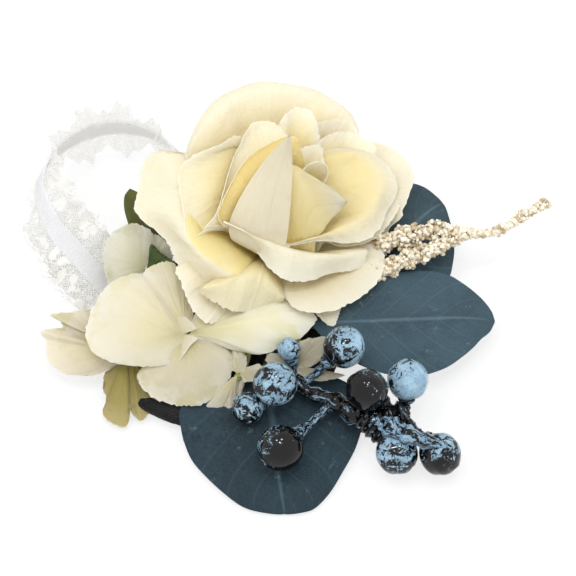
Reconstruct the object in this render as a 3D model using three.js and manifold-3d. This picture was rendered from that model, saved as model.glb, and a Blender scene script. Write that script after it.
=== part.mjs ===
// Wrist corsage: an artificial rose with hydrangea florets, eucalyptus leaves, a berry spray and a
// foam-grain sprig, bound with floral tape, glued to an oval felt pad and worn on an elastic lace band.
// Millimetres, +Z up. Each piece is placed from the middle of the felt pad, +X to the right and +Y to
// the back, and the finished part is moved so that its origin is the middle of its underside.
import * as THREE from "three";
import { mergeVertices } from "three/addons/utils/BufferGeometryUtils.js";
import Module from "manifold-3d";

const wasm = await Module();
wasm.setup();

// Driving dimensions.
const CLEARANCE = 0.3; // gap kept between neighbouring pieces
const SPREAD = 100; // length that the places on the pad are shares of
const PAD_LENGTH = 72;
const PAD_WIDTH = 62;
const PAD_THICK = 2;
const GLUE_THICK = 1.5;
const BUNDLE_LENGTH = 30;
const BUNDLE_RADIUS = 3;
const SPIKE_RADIUS = 1.5;
const SPIKE_LENGTH = 12;
const HUB_RADIUS = 4.5;
const HUB_THICK = 1.2;
const PETAL_THICK = 0.6;
const CALYX_RADIUS = 5;
const CALYX_HEIGHT = 6;
const SEPAL_LENGTH = 20;
const SEPAL_WIDTH = 10;
const BUD_RADIUS = 2.8;
const BUD_HEIGHT = 17;
const PETAL_SWELL = 1.4;
const FLORET_HUB_RADIUS = 2.4;
const FLORET_STALK_RADIUS = 0.8;
const LEAF_THICK = 0.8;
const LEAF_CROWN = 1;
const LEAF_WIRE_RADIUS = 1;
const BERRY_RADIUS = 6.1;
const SPRAY_STEM_RADIUS = 1.6;
const SPRAY_TWIG_RADIUS = 1.1;
const GRAIN_RADIUS = 2.3;
const SPRIG_WIRE_RADIUS = 0.7;
const ELASTIC_WIDTH = 6;
const ELASTIC_THICK = 0.9;
const LACE_WIDTH = 25;
const LACE_THICK = 0.7;
const RUFFLE_DEPTH = 2.2;

const HALF = 1 / 2;
const radians = THREE.MathUtils.degToRad;
const smooth = (share) => THREE.MathUtils.smoothstep(share, 0, 1);
const mix = THREE.MathUtils.lerp;
const vector = (x, y, z) => new THREE.Vector3(x, y, z);
const up = () => vector(0, 0, 1);
const steps = (count) => Array.from({ length: count + 1 }, (_, i) => i / count);
const place = ([x, y, z]) => vector(x, y, z).multiplyScalar(SPREAD);
const along = (point, direction, reach) => point.clone().addScaledVector(direction, reach);

// A closed geometry as a solid with its faces pointing out.
function solidOf(geometry) {
  const bare = geometry.clone();
  bare.deleteAttribute("normal");
  bare.deleteAttribute("uv");
  const merged = mergeVertices(bare);
  const vertProperties = merged.attributes.position.array;
  const make = (triVerts) => new wasm.Manifold(new wasm.Mesh({ numProp: 3, vertProperties, triVerts }));
  const triVerts = new Uint32Array(merged.index.array);
  const made = make(triVerts);
  return made.volume() > 0 ? made : make(triVerts.slice().reverse());
}

// A solid as a geometry.
function geometryOf(solid) {
  const mesh = solid.getMesh();
  const geometry = new THREE.BufferGeometry();
  geometry.setAttribute("position", new THREE.BufferAttribute(new Float32Array(mesh.vertProperties), 3));
  geometry.setIndex(new THREE.BufferAttribute(new Uint32Array(mesh.triVerts), 1));
  return geometry;
}

const union = (solids) => solids.reduce((whole, next) => whole.add(next));
const largest = (solid) => solid.decompose().sort((a, b) => b.volume() - a.volume())[0];

// A sheet of even thickness round the surface at(along, across), as a closed solid.
function sheet(at, rows, columns, thick) {
  const wide = columns.length;
  const grid = rows.map((s) => columns.map((t) => at(s, t)));
  const faces = [HALF, -HALF].map((side) =>
    grid.flatMap((row, i) =>
      row.map((point, j) => {
        const along = (grid[i + 1] ?? row)[j].clone().sub((grid[i - 1] ?? row)[j]);
        const across = (row[j + 1] ?? point).clone().sub(row[j - 1] ?? point);
        return along.cross(across).normalize().multiplyScalar(side * thick).add(point);
      }),
    ),
  );
  const under = rows.length * wide;
  const index = [];
  const quad = (a, b, c, d) => index.push(a, b, c, a, c, d);
  for (let i = 0; i + 1 < rows.length; i++) {
    for (let j = 0; j + 1 < wide; j++) {
      const a = i * wide + j;
      quad(a, a + 1, a + wide + 1, a + wide);
      quad(under + a, under + a + wide, under + a + wide + 1, under + a + 1);
    }
    const left = i * wide;
    const right = left + wide - 1;
    quad(left, left + wide, under + left + wide, under + left);
    quad(right, under + right, under + right + wide, right + wide);
  }
  for (let j = 0; j + 1 < wide; j++) {
    const end = under - wide + j;
    quad(j, under + j, under + j + 1, j + 1);
    quad(end, end + 1, under + end + 1, under + end);
  }
  const geometry = new THREE.BufferGeometry().setFromPoints(faces.flat());
  geometry.setIndex(index);
  return solidOf(geometry);
}

// A round rod along a curve through points.
function rod(points, radius, sides = 8, perSpan = 4) {
  const path = new THREE.CatmullRomCurve3(points);
  const round = new THREE.Shape().absarc(0, 0, radius, 0, 2 * Math.PI);
  const spans = points.length > 2 ? (points.length - 1) * perSpan : 1;
  const options = { steps: spans, extrudePath: path, bevelEnabled: false, curveSegments: sides / 2 };
  return solidOf(new THREE.ExtrudeGeometry(round, options));
}

// A turned solid about Z from [radius, height] pairs that start and end on the axis.
function turned(profile, sides) {
  const points = profile.map(([radius, height]) => new THREE.Vector2(radius, height));
  const geometry = new THREE.LatheGeometry(points, sides);
  return solidOf(geometry.rotateX(Math.PI / 2));
}

// A geometry or solid moved into a frame that stands on base with its Z along axis.
function frameOn(base, axis, spin = 0) {
  const turn = new THREE.Quaternion().setFromUnitVectors(up(), axis.clone().normalize());
  turn.multiply(new THREE.Quaternion().setFromAxisAngle(up(), radians(spin)));
  return new THREE.Matrix4().compose(base, turn, vector(1, 1, 1));
}
const moved = (solid, matrix) => solid.transform(matrix.elements);

// Every piece by name: its mesh and the slightly larger solid that its neighbours keep clear of.
const corsage = new THREE.Group();
const pieces = new Map();
const FINISHES = {
  felt: { color: 0x141414, roughness: 0.95, metalness: 0 },
  glue: { color: 0xd8d2bd, roughness: 0.5, metalness: 0 },
  tape: { color: 0x3c4a24, roughness: 0.7, metalness: 0 },
  green: { color: 0x4c5a2a, roughness: 0.7, metalness: 0 },
  ivory: { color: 0xf2ead0, roughness: 0.85, metalness: 0 },
  floret: { color: 0xefead6, roughness: 0.85, metalness: 0 },
  beige: { color: 0xcfc6b0, roughness: 0.9, metalness: 0 },
  teal: { color: 0x3e5868, roughness: 0.8, metalness: 0 },
  berry: { color: 0x2a3038, roughness: 0.25, metalness: 0 },
  stem: { color: 0x55707f, roughness: 0.5, metalness: 0 },
  grain: { color: 0xdccaa4, roughness: 0.9, metalness: 0 },
  white: { color: 0xf6f6f4, roughness: 0.8, metalness: 0 },
};

// Adds a piece. make(grow) builds its solid, thicker by grow on every side, and the pieces named in
// clearOf have their space cut out of it. Slivers that the cuts leave are then merged away.
const LEAST_RELIEF = 0.1;
function add(name, finish, make, clearOf = []) {
  const cut = clearOf.reduce((solid, other) => solid.subtract(pieces.get(other).grown), make(0));
  const merged = geometryOf(largest(cut).simplify(LEAST_RELIEF));
  const whole = largest(solidOf(merged));
  const grown = union([make(CLEARANCE), make(CLEARANCE * HALF), whole]);
  const mesh = new THREE.Mesh(geometryOf(whole), new THREE.MeshStandardMaterial(FINISHES[finish]));
  mesh.name = name;
  corsage.add(mesh);
  pieces.set(name, { mesh, grown });
  return name;
}

// Petals and blades. Each edge or line is a smooth curve through shares of the spread, in the frame
// of the flower that carries it.
const curveOf = (shares) => new THREE.CatmullRomCurve3(shares.map(place));
const fan = (lift, roll, rim, ...inner) => ({ lift, roll, lines: [...inner, rim].map(curveOf) });
const wrap = (left, right) => ({ left: curveOf(left), right: curveOf(right) });
const FAN_SAMPLES = 12;

// A petal that fans out from its flower's hub to its rim. Each column leaves the hub at the slope
// lift, passes the inner lines, such as the one that the cloth rolls over, and meets the rim at the
// slope roll, in degrees above the flower's plane. Its rows are numbered by the lines they reach.
function fanSurface({ lift, roll, lines }, hub, rise, grow) {
  const rim = lines.at(-1);
  const flat = steps(FAN_SAMPLES).map((t) => rim.getPointAt(t).setZ(0));
  const heart = flat.reduce((sum, point) => sum.add(point), vector(0, 0, 0)).divideScalar(flat.length);
  const reach = Math.max(...flat.map((point) => point.distanceTo(heart)));
  const climb = (away, slope) =>
    away.clone().multiplyScalar(Math.cos(radians(slope))).add(up().multiplyScalar(Math.sin(radians(slope))));
  return (s, t) => {
    const end = rim.getPointAt(t);
    const away = end.clone().setZ(0).sub(heart).multiplyScalar(HALF / reach);
    away.add(heart.clone().normalize()).normalize();
    const knots = [away.clone().multiplyScalar(hub).setZ(rise), ...lines.map((line) => line.getPointAt(t))];
    const out = end.clone().sub(knots[0]).setZ(0).normalize().add(away).normalize();
    const slopeAt = (k) => {
      if (k === 0) return climb(away, lift);
      if (k === lines.length) return climb(out, roll);
      return knots[k + 1].clone().sub(knots[k - 1]).normalize();
    };
    const k = Math.min(Math.floor(s), lines.length - 1);
    const [from, to] = [knots[k], knots[k + 1]];
    const handle = from.distanceTo(to) / 3;
    const [leave, arrive] = [along(from, slopeAt(k), handle), along(to, slopeAt(k + 1), -handle)];
    const point = new THREE.CubicBezierCurve3(from, leave, arrive, to).getPoint(s - k);
    return s === lines.length ? along(point, slopeAt(k + 1), grow) : point;
  };
}

// A petal or blade that lies between two edges, both from its foot to its tip. outAt gives the
// direction that it swells in from the directions across and along it.
const FOOT_SHARE = 0.02;
const TIP_SHARE = 0.98;
function railSurface({ left, right }, swell, outAt, grow) {
  return (s, t) => {
    const share = mix(FOOT_SHARE, TIP_SHARE, s);
    const [from, to] = [left.getPointAt(share), right.getPointAt(share)];
    const across = to.clone().sub(from).normalize();
    const run = left.getTangentAt(share).add(right.getTangentAt(share)).normalize();
    const high = swell * Math.sin(Math.PI * t) * Math.sin(Math.PI * share);
    const point = along(from.lerp(to, t), outAt(across, run), high);
    return along(point, across, grow * (2 * t - 1)).addScaledVector(run, s === 1 ? grow : 0);
  };
}
const faceOut = (across, run) => across.clone().cross(run).normalize();

// The sheets of a flower's petals, in the flower's own frame.
function petalSheets(petals, hub, rise, fineness, grow) {
  return petals.map((shape) => {
    const thick = PETAL_THICK + 2 * grow;
    const columns = steps(fineness.columns);
    if (shape.left) {
      return sheet(railSurface(shape, PETAL_SWELL, faceOut, grow), steps(fineness.rail), columns, thick);
    }
    const spans = shape.lines.length;
    const rows = steps(spans * fineness.rows[spans - 1]).map((share) => share * spans);
    return sheet(fanSurface(shape, hub, rise, grow), rows, columns, thick);
  });
}

// The stem bundle of green floral tape lies along X on a bed of hot glue on the felt pad, which
// covers the sewn ends of the wristlet's band.
const seatTop = LACE_THICK + CLEARANCE + ELASTIC_THICK;
const padBase = seatTop + CLEARANCE;
const padTop = padBase + PAD_THICK;
const glueBase = padTop + CLEARANCE;
const bundleHeight = glueBase + GLUE_THICK + CLEARANCE + BUNDLE_RADIUS;
const BUNDLE_SHIFT_SHARES = [0.03, 0.01];
const bundleMiddle = place([...BUNDLE_SHIFT_SHARES, 0]).setZ(bundleHeight);
const GLUE_SPAN_SHARE = 1.2; // glue bed's length as a share of the bundle's
const GLUE_WIDTH_SHARE = 2.6; // glue bed's width as a share of the bundle's radius, each side

const onBase = ["taped_stem_bundle", "glue_bed", "felt_backing_pad"];

// A flat plate of an outline of [x, y] points from the height low to the height high.
function plate(points, low, high) {
  const outline = new THREE.Shape(points.map(([x, y]) => new THREE.Vector2(x, y)));
  const options = { depth: high - low, bevelEnabled: false };
  return solidOf(new THREE.ExtrudeGeometry(outline, options).translate(0, 0, low));
}
const ovalPoints = (length, width, count, centre = [0, 0]) =>
  steps(count)
    .slice(1)
    .map((share) => share * 2 * Math.PI)
    .map((a) => [centre[0] + HALF * length * Math.cos(a), centre[1] + HALF * width * Math.sin(a)]);

add("felt_backing_pad", "felt", (grow) =>
  plate(ovalPoints(PAD_LENGTH + 2 * grow, PAD_WIDTH + 2 * grow, 40), padBase - grow, padTop + grow),
);
const bundleAxis = vector(1, 0, 0);
add("taped_stem_bundle", "tape", (grow) => {
  const half = HALF * BUNDLE_LENGTH + grow;
  const ends = [along(bundleMiddle, bundleAxis, -half), along(bundleMiddle, bundleAxis, half)];
  return rod(ends, BUNDLE_RADIUS + grow, 12);
});
add(
  "glue_bed",
  "glue",
  (grow) =>
    plate(
      ovalPoints(
        BUNDLE_LENGTH * GLUE_SPAN_SHARE + 2 * grow,
        2 * (BUNDLE_RADIUS * GLUE_WIDTH_SHARE + grow),
        24,
        [bundleMiddle.x, bundleMiddle.y],
      ),
      glueBase - grow,
      glueBase + GLUE_THICK + BUNDLE_RADIUS * HALF + grow,
    ),
  ["taped_stem_bundle"],
);

// Rose. Its axis leans to the right and a little back. The table gives its petals by layer in the
// rose's own frame, the first layer being the lowest and outermost one.
const ROSE_BASE_SHARES = [0.133, 0.27, 0.125];
const ROSE_LEAN_SHARES = [0.4, 0.12, 0.909];
const ROSE_PETAL_SHARES = [
  [
    // under right
    fan(4, 26, [
      [0.076, -0.048, 0.01], [0.128, -0.158, 0.047], [0.244, -0.167, 0.073], [0.302, -0.054, 0.073],
      [0.287, 0.072, 0.068], [0.176, 0.105, 0.044], [0.088, 0.019, 0.01],
    ]),
    // under back right
    fan(4, 26, [
      [0.075, 0.05, 0.01], [0.193, 0.054, 0.053], [0.253, 0.151, 0.084], [0.177, 0.251, 0.083],
      [0.058, 0.289, 0.077], [-0.015, 0.201, 0.049], [0.022, 0.087, 0.01],
    ]),
    // under back
    fan(4, 26, [
      [-0.02, 0.088, 0.01], [0.02, 0.194, 0.061], [-0.05, 0.281, 0.094], [-0.169, 0.244, 0.093],
      [-0.246, 0.146, 0.087], [-0.191, 0.048, 0.056], [-0.075, 0.049, 0.01],
    ]),
    // under left
    fan(4, 26, [
      [-0.089, 0.014, 0.01], [-0.165, 0.078, 0.041], [-0.259, 0.055, 0.063], [-0.273, -0.047, 0.062],
      [-0.225, -0.14, 0.057], [-0.129, -0.131, 0.037], [-0.079, -0.044, 0.01],
    ]),
    // hanging tip
    fan(4, -30, [
      [-0.104, -0.094, 0.02], [-0.199, -0.146, 0.031], [-0.29, -0.205, 0.04], [-0.251, -0.287, 0.003],
      [-0.162, -0.328, -0.032], [-0.088, -0.251, -0.027], [-0.039, -0.155, -0.01],
    ]),
    // under tip
    fan(-4, -12, [
      [0.034, -0.136, 0], [0.08, -0.188, 0.022], [0.127, -0.241, 0.043], [0.183, -0.284, 0.049],
      [0.204, -0.234, 0.08], [0.169, -0.176, 0.052], [0.134, -0.12, 0.02],
    ]),
  ],
  [
    // left outer
    fan(14, -62, [
      [-0.132, 0.07, 0.08], [-0.251, 0.118, 0.14], [-0.381, 0.1, 0.167], [-0.43, 0.099, 0.067],
      [-0.436, -0.039, 0.04], [-0.324, -0.118, 0.023], [-0.234, -0.22, 0.001], [-0.109, -0.256, -0.013],
      [-0.043, -0.133, 0.01],
    ], [
      [-0.1, 0.045, 0.06], [-0.189, 0.048, 0.097], [-0.258, 0.007, 0.126], [-0.237, -0.086, 0.115],
      [-0.163, -0.141, 0.104], [-0.08, -0.153, 0.077], [-0.031, -0.085, 0.03],
    ], [
      [-0.106, 0.056, 0.07], [-0.227, 0.102, 0.148], [-0.348, 0.034, 0.188], [-0.334, -0.105, 0.164],
      [-0.262, -0.22, 0.126], [-0.126, -0.214, 0.084], [-0.038, -0.103, 0.034],
    ]),
    // front ridge
    fan(10, -70, [
      [-0.08, -0.102, 0.01], [-0.126, -0.179, 0.01], [-0.167, -0.259, 0.01], [-0.105, -0.291, 0.005],
      [-0.023, -0.256, 0.004], [0.048, -0.211, 0.02], [0.044, -0.122, 0.01],
    ], [
      [-0.065, -0.089, 0.03], [-0.131, -0.171, 0.034], [-0.194, -0.255, 0.043], [-0.136, -0.242, 0.096],
      [-0.038, -0.216, 0.09], [0.039, -0.209, 0.048], [0.034, -0.105, 0.03],
    ]),
    // right front
    fan(16, 4, [
      [0.111, 0.1, 0.07], [0.229, 0.121, 0.117], [0.347, 0.133, 0.166], [0.322, 0.025, 0.168],
      [0.313, -0.102, 0.154], [0.253, -0.208, 0.122], [0.149, -0.275, 0.091], [0.045, -0.24, 0.054],
      [0.025, -0.117, 0.02],
    ]),
    // top back
    fan(22, -60, [
      [-0.15, -0.005, 0.08], [-0.302, 0.011, 0.171], [-0.333, 0.155, 0.245], [-0.244, 0.303, 0.279],
      [-0.095, 0.396, 0.291], [0.077, 0.435, 0.272], [0.216, 0.372, 0.21], [0.226, 0.208, 0.144],
      [0.111, 0.1, 0.065],
    ], [
      [-0.13, 0, 0.09], [-0.313, 0.046, 0.191], [-0.265, 0.192, 0.303], [-0.099, 0.321, 0.315],
      [0.103, 0.366, 0.277], [0.192, 0.239, 0.175], [0.094, 0.09, 0.07],
    ]),
  ],
  [
    // right outer
    fan(24, 40, [
      [0.055, 0.15, 0.09], [0.111, 0.236, 0.162], [0.156, 0.328, 0.232], [0.235, 0.304, 0.265],
      [0.347, 0.268, 0.269], [0.37, 0.156, 0.247], [0.338, 0.059, 0.182], [0.244, -0.012, 0.141],
      [0.15, 0, 0.09],
    ]),
    // right lower
    fan(14, 10, [
      [0.115, 0.096, 0.08], [0.202, 0.149, 0.148], [0.305, 0.168, 0.206], [0.337, 0.083, 0.205],
      [0.273, -0.017, 0.178], [0.164, -0.07, 0.168], [0.111, -0.1, 0.1],
    ]),
    // back frill
    fan(30, 66, [
      [-0.043, 0.133, 0.12], [-0.026, 0.194, 0.23], [0.03, 0.274, 0.284], [0.137, 0.339, 0.279],
      [0.194, 0.268, 0.241], [0.156, 0.165, 0.178], [0.094, 0.09, 0.1],
    ]),
    // front
    fan(20, -62, [
      [-0.099, -0.067, 0.09], [-0.184, -0.103, 0.144], [-0.15, -0.123, 0.157], [-0.062, -0.172, 0.123],
      [0.03, -0.215, 0.109], [0.121, -0.165, 0.119], [0.217, -0.122, 0.13], [0.242, -0.059, 0.158],
      [0.155, -0.039, 0.1],
    ], [
      [-0.089, -0.065, 0.1], [-0.192, -0.11, 0.163], [-0.121, -0.154, 0.189], [0.006, -0.169, 0.195],
      [0.13, -0.138, 0.184], [0.24, -0.07, 0.178], [0.136, -0.034, 0.12],
    ]),
    // left inner
    fan(34, 58, [
      [-0.08, -0.083, 0.07], [-0.18, -0.108, 0.133], [-0.276, -0.17, 0.154], [-0.338, -0.126, 0.18],
      [-0.371, -0.018, 0.22], [-0.295, 0.053, 0.275], [-0.199, 0.114, 0.296], [-0.122, 0.106, 0.205],
      [-0.082, 0.074, 0.096],
    ], [
      [-0.073, -0.076, 0.065], [-0.16, -0.093, 0.116], [-0.22, -0.058, 0.169], [-0.215, 0.03, 0.219],
      [-0.178, 0.107, 0.25], [-0.099, 0.101, 0.19], [-0.078, 0.07, 0.095],
    ]),
  ],
  [
    // back right lobe
    fan(40, 70, [
      [-0.003, 0.09, 0.14], [-0.001, 0.098, 0.271], [0.053, 0.205, 0.303], [0.159, 0.277, 0.295],
      [0.233, 0.218, 0.259], [0.184, 0.116, 0.192], [0.095, 0.055, 0.12],
    ]),
    // back lobe
    fan(46, 74, [
      [-0.06, 0.067, 0.13], [-0.081, 0.104, 0.242], [-0.097, 0.176, 0.319], [-0.042, 0.274, 0.33],
      [0.039, 0.213, 0.31], [0.066, 0.13, 0.229], [0.038, 0.071, 0.13],
    ]),
    // left mid
    fan(40, 74, [
      [-0.062, -0.079, 0.08], [-0.166, -0.102, 0.136], [-0.266, -0.155, 0.161], [-0.233, -0.063, 0.23],
      [-0.219, 0.046, 0.281], [-0.184, 0.154, 0.318], [-0.082, 0.158, 0.329], [-0.018, 0.12, 0.236],
      [-0.016, 0.089, 0.12],
    ], [
      [-0.055, -0.071, 0.08], [-0.145, -0.09, 0.122], [-0.197, -0.064, 0.184], [-0.177, 0.013, 0.247],
      [-0.117, 0.074, 0.295], [-0.048, 0.112, 0.29], [-0.012, 0.085, 0.2],
    ]),
    // right cup
    fan(30, -20, [
      [0.014, 0.099, 0.15], [0.047, 0.192, 0.238], [0.163, 0.235, 0.271], [0.287, 0.214, 0.26],
      [0.318, 0.103, 0.225], [0.267, -0.015, 0.202], [0.159, -0.086, 0.192], [0.035, -0.133, 0.196],
      [-0.057, -0.128, 0.14],
    ], [
      [0.008, 0.08, 0.16], [0.041, 0.123, 0.244], [0.107, 0.112, 0.251], [0.167, 0.05, 0.214],
      [0.12, -0.032, 0.181], [0.053, -0.104, 0.168], [-0.034, -0.083, 0.13],
    ], [
      [0.009, 0.09, 0.15], [0.047, 0.172, 0.261], [0.182, 0.186, 0.293], [0.246, 0.07, 0.268],
      [0.166, -0.045, 0.237], [0.046, -0.124, 0.21], [-0.045, -0.111, 0.14],
    ]),
  ],
  [
    // left bud
    fan(66, 84, [
      [-0.033, -0.062, 0.1], [-0.148, -0.104, 0.145], [-0.212, -0.074, 0.226], [-0.177, 0.005, 0.319],
      [-0.086, 0.065, 0.386], [-0.001, 0.063, 0.296], [0.009, 0.049, 0.17],
    ], [
      [-0.028, -0.053, 0.11], [-0.123, -0.091, 0.137], [-0.188, -0.087, 0.197], [-0.163, -0.027, 0.279],
      [-0.115, 0.032, 0.353], [-0.049, 0.057, 0.328], [0.009, 0.049, 0.24],
    ]),
    // inner back
    fan(76, 84, [
      [-0.035, 0.02, 0.18], [-0.066, 0.025, 0.267], [-0.073, 0.061, 0.339], [-0.006, 0.124, 0.337],
      [0.056, 0.124, 0.298], [0.077, 0.055, 0.241], [0.056, 0.021, 0.16],
    ]),
    // bud tip
    fan(80, 104, [
      [-0.026, 0.015, 0.2], [-0.028, 0.013, 0.265], [-0.029, 0.013, 0.331], [0.013, 0.05, 0.349],
      [0.063, 0.047, 0.319], [0.06, 0.017, 0.263], [0.06, 0, 0.2],
    ]),
    // pointed
    wrap([
      [-0.027, -0.019, 0.066], [-0.094, -0.079, 0.093], [-0.163, -0.132, 0.128], [-0.193, -0.106, 0.21],
      [-0.181, -0.06, 0.291], [-0.153, -0.01, 0.365], [-0.11, 0.042, 0.43],
    ], [
      [0.001, -0.033, 0.066], [0.008, -0.116, 0.101], [-0.006, -0.161, 0.162], [-0.033, -0.127, 0.241],
      [-0.059, -0.087, 0.317], [-0.083, -0.029, 0.382], [-0.11, 0.042, 0.43],
    ]),
    // right bud
    wrap([
      [-0.011, -0.031, 0.066], [0, -0.137, 0.106], [-0.036, -0.126, 0.192], [-0.067, -0.073, 0.287],
      [-0.067, 0, 0.359], [0.039, 0.007, 0.319], [0.143, 0.005, 0.274],
    ], [
      [0.021, -0.025, 0.066], [0.055, -0.068, 0.091], [0.086, -0.109, 0.12], [0.081, -0.115, 0.173],
      [0.086, -0.081, 0.215], [0.112, -0.035, 0.243], [0.143, 0.005, 0.274],
    ]),
  ],
];

const roseBase = place(ROSE_BASE_SHARES);
const roseAxis = vector(...ROSE_LEAN_SHARES).normalize();
const roseRight = vector(1, 0, 0).addScaledVector(roseAxis, -roseAxis.x).normalize();
const roseFrame = new THREE.Matrix4()
  .makeBasis(roseRight, roseAxis.clone().cross(roseRight), roseAxis)
  .setPosition(roseBase);
const HUB_PITCH = HUB_THICK + CLEARANCE;
const HUB_SIDES = 7;
const ROSE_FINENESS = { rows: [3, 2, 1], columns: 5, rail: 4 };
const LOWEST_FINENESS = { rows: [2], columns: 4 };

// One die-cut layer of petals, joined at a ring that sits on the spike.
function petalLayer(petals, hub, seat, fineness, grow) {
  const sheets = petalSheets(petals, hub.radius - hub.thick, seat + hub.thick * HALF, fineness, grow);
  const ring = turned(
    [
      [hub.bore - grow, seat - grow],
      [hub.radius + grow, seat - grow],
      [hub.radius + grow, seat + hub.thick + grow],
      [hub.bore - grow, seat + hub.thick + grow],
      [hub.bore - grow, seat - grow],
    ],
    HUB_SIDES,
  );
  return union([ring, ...sheets]);
}

const roseHub = { radius: HUB_RADIUS, thick: HUB_THICK, bore: SPIKE_RADIUS + CLEARANCE };
const layerNames = [];
const layerCount = ROSE_PETAL_SHARES.length;
for (let i = layerCount - 1; i >= 0; i--) {
  const name = "rose_petal_layer_" + (i + 1);
  const fineness = i === 0 ? LOWEST_FINENESS : ROSE_FINENESS;
  const make = (grow) =>
    moved(petalLayer(ROSE_PETAL_SHARES[i], roseHub, i * HUB_PITCH, fineness, grow), roseFrame);
  add(name, "ivory", make, [...onBase, ...layerNames]);
  layerNames.push(name);
}

// Bud, spike and calyx of the rose. The bud is a tapered core that the inner petals wrap, and the
// spike carries every layer down to the calyx, whose sepals show behind the left petal.
const layersTop = layerCount * HUB_PITCH;
const onRose = (make) => (grow) => moved(make(grow), roseFrame);
const budProfile = (grow) => {
  const low = layersTop - grow;
  const high = layersTop + BUD_HEIGHT + grow;
  const wide = BUD_RADIUS + grow;
  const shares = [[0.5, 0], [0.86, 0.16], [1, 0.4], [0.9, 0.64], [0.62, 0.86], [0.26, 0.98]];
  const wall = shares.map(([across, rise]) => [wide * across, mix(low, high, rise)]);
  return [[0, low], ...wall, [0, high]];
};
add("rose_bud_core", "ivory", onRose((grow) => turned(budProfile(grow), 12)), layerNames);

// A wire or stalk that starts in the bundle and ends at a point, by way of the points between.
const bundlePoint = ([x, y, z]) =>
  vector(x * HALF * BUNDLE_LENGTH, y * BUNDLE_RADIUS, z * BUNDLE_RADIUS).add(bundleMiddle);
function addWire(name, finish, points, radius, clearOf = [], sides = 6) {
  return add(name, finish, (grow) => rod(points, radius + grow, sides, 3), [...onBase, ...clearOf]);
}

// Calyx, spike and stem of the rose. The stem comes from the bundle's top, bends up into the calyx
// and goes through it as the spike that carries the petal layers.
const onAxis = (height) => along(roseBase, roseAxis, height);
add(
  "rose_stem_and_spike",
  "green",
  (grow) => {
    const top = onAxis(layersTop - CLEARANCE + grow);
    const foot = onAxis(-CALYX_HEIGHT - SPIKE_RADIUS);
    const stem = rod([bundleMiddle, along(bundleMiddle, vector(0, 1, 0), BUNDLE_RADIUS * 2.5), foot],
      SPIKE_RADIUS + grow, 8, 4);
    return stem.add(rod([along(foot, roseAxis, -grow), top], SPIKE_RADIUS + grow, 8));
  },
  ["taped_stem_bundle"],
);
const SEPAL_AZIMUTHS = [20, 92, 164, 236, 308];
const SEPAL_OUTLINE_SHARES = [
  [0.1, -0.36], [0.35, -0.5], [0.7, -0.4], [1, 0], [0.7, 0.4], [0.35, 0.5], [0.1, 0.36],
];
const SEPAL_DROOP_SHARE = 0.04; // a sepal's drop at its tip as a share of its length
function sepal(azimuth, grow) {
  const outline = SEPAL_OUTLINE_SHARES.map(([out, side]) => {
    const drop = HUB_THICK + out * out * SEPAL_DROOP_SHARE * SEPAL_LENGTH;
    return vector(CALYX_RADIUS * HALF + out * SEPAL_LENGTH, side * SEPAL_WIDTH, -drop)
      .applyAxisAngle(up(), radians(azimuth));
  });
  const rim = new THREE.CatmullRomCurve3(outline);
  return sheet(
    fanSurface({ lift: 0, roll: -10, lines: [rim] }, CALYX_RADIUS - HUB_THICK, -HUB_THICK, grow),
    steps(1), steps(4), PETAL_THICK + 2 * grow,
  );
}
add(
  "rose_calyx",
  "green",
  onRose((grow) => {
    const bore = SPIKE_RADIUS + CLEARANCE - grow;
    const foot = SPIKE_RADIUS + HUB_THICK;
    const cup = turned(
      [
        [bore, -CALYX_HEIGHT - grow],
        [foot + grow, -CALYX_HEIGHT - grow],
        [CALYX_RADIUS + grow, -CALYX_HEIGHT * HALF],
        [CALYX_RADIUS + grow, grow - CLEARANCE],
        [bore, grow - CLEARANCE],
        [bore, -CALYX_HEIGHT - grow],
      ],
      12,
    );
    const sepals = SEPAL_AZIMUTHS.map((azimuth) => sepal(azimuth, grow));
    return union([cup, ...sepals]);
  }),
  layerNames.slice(-2),
);

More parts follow.
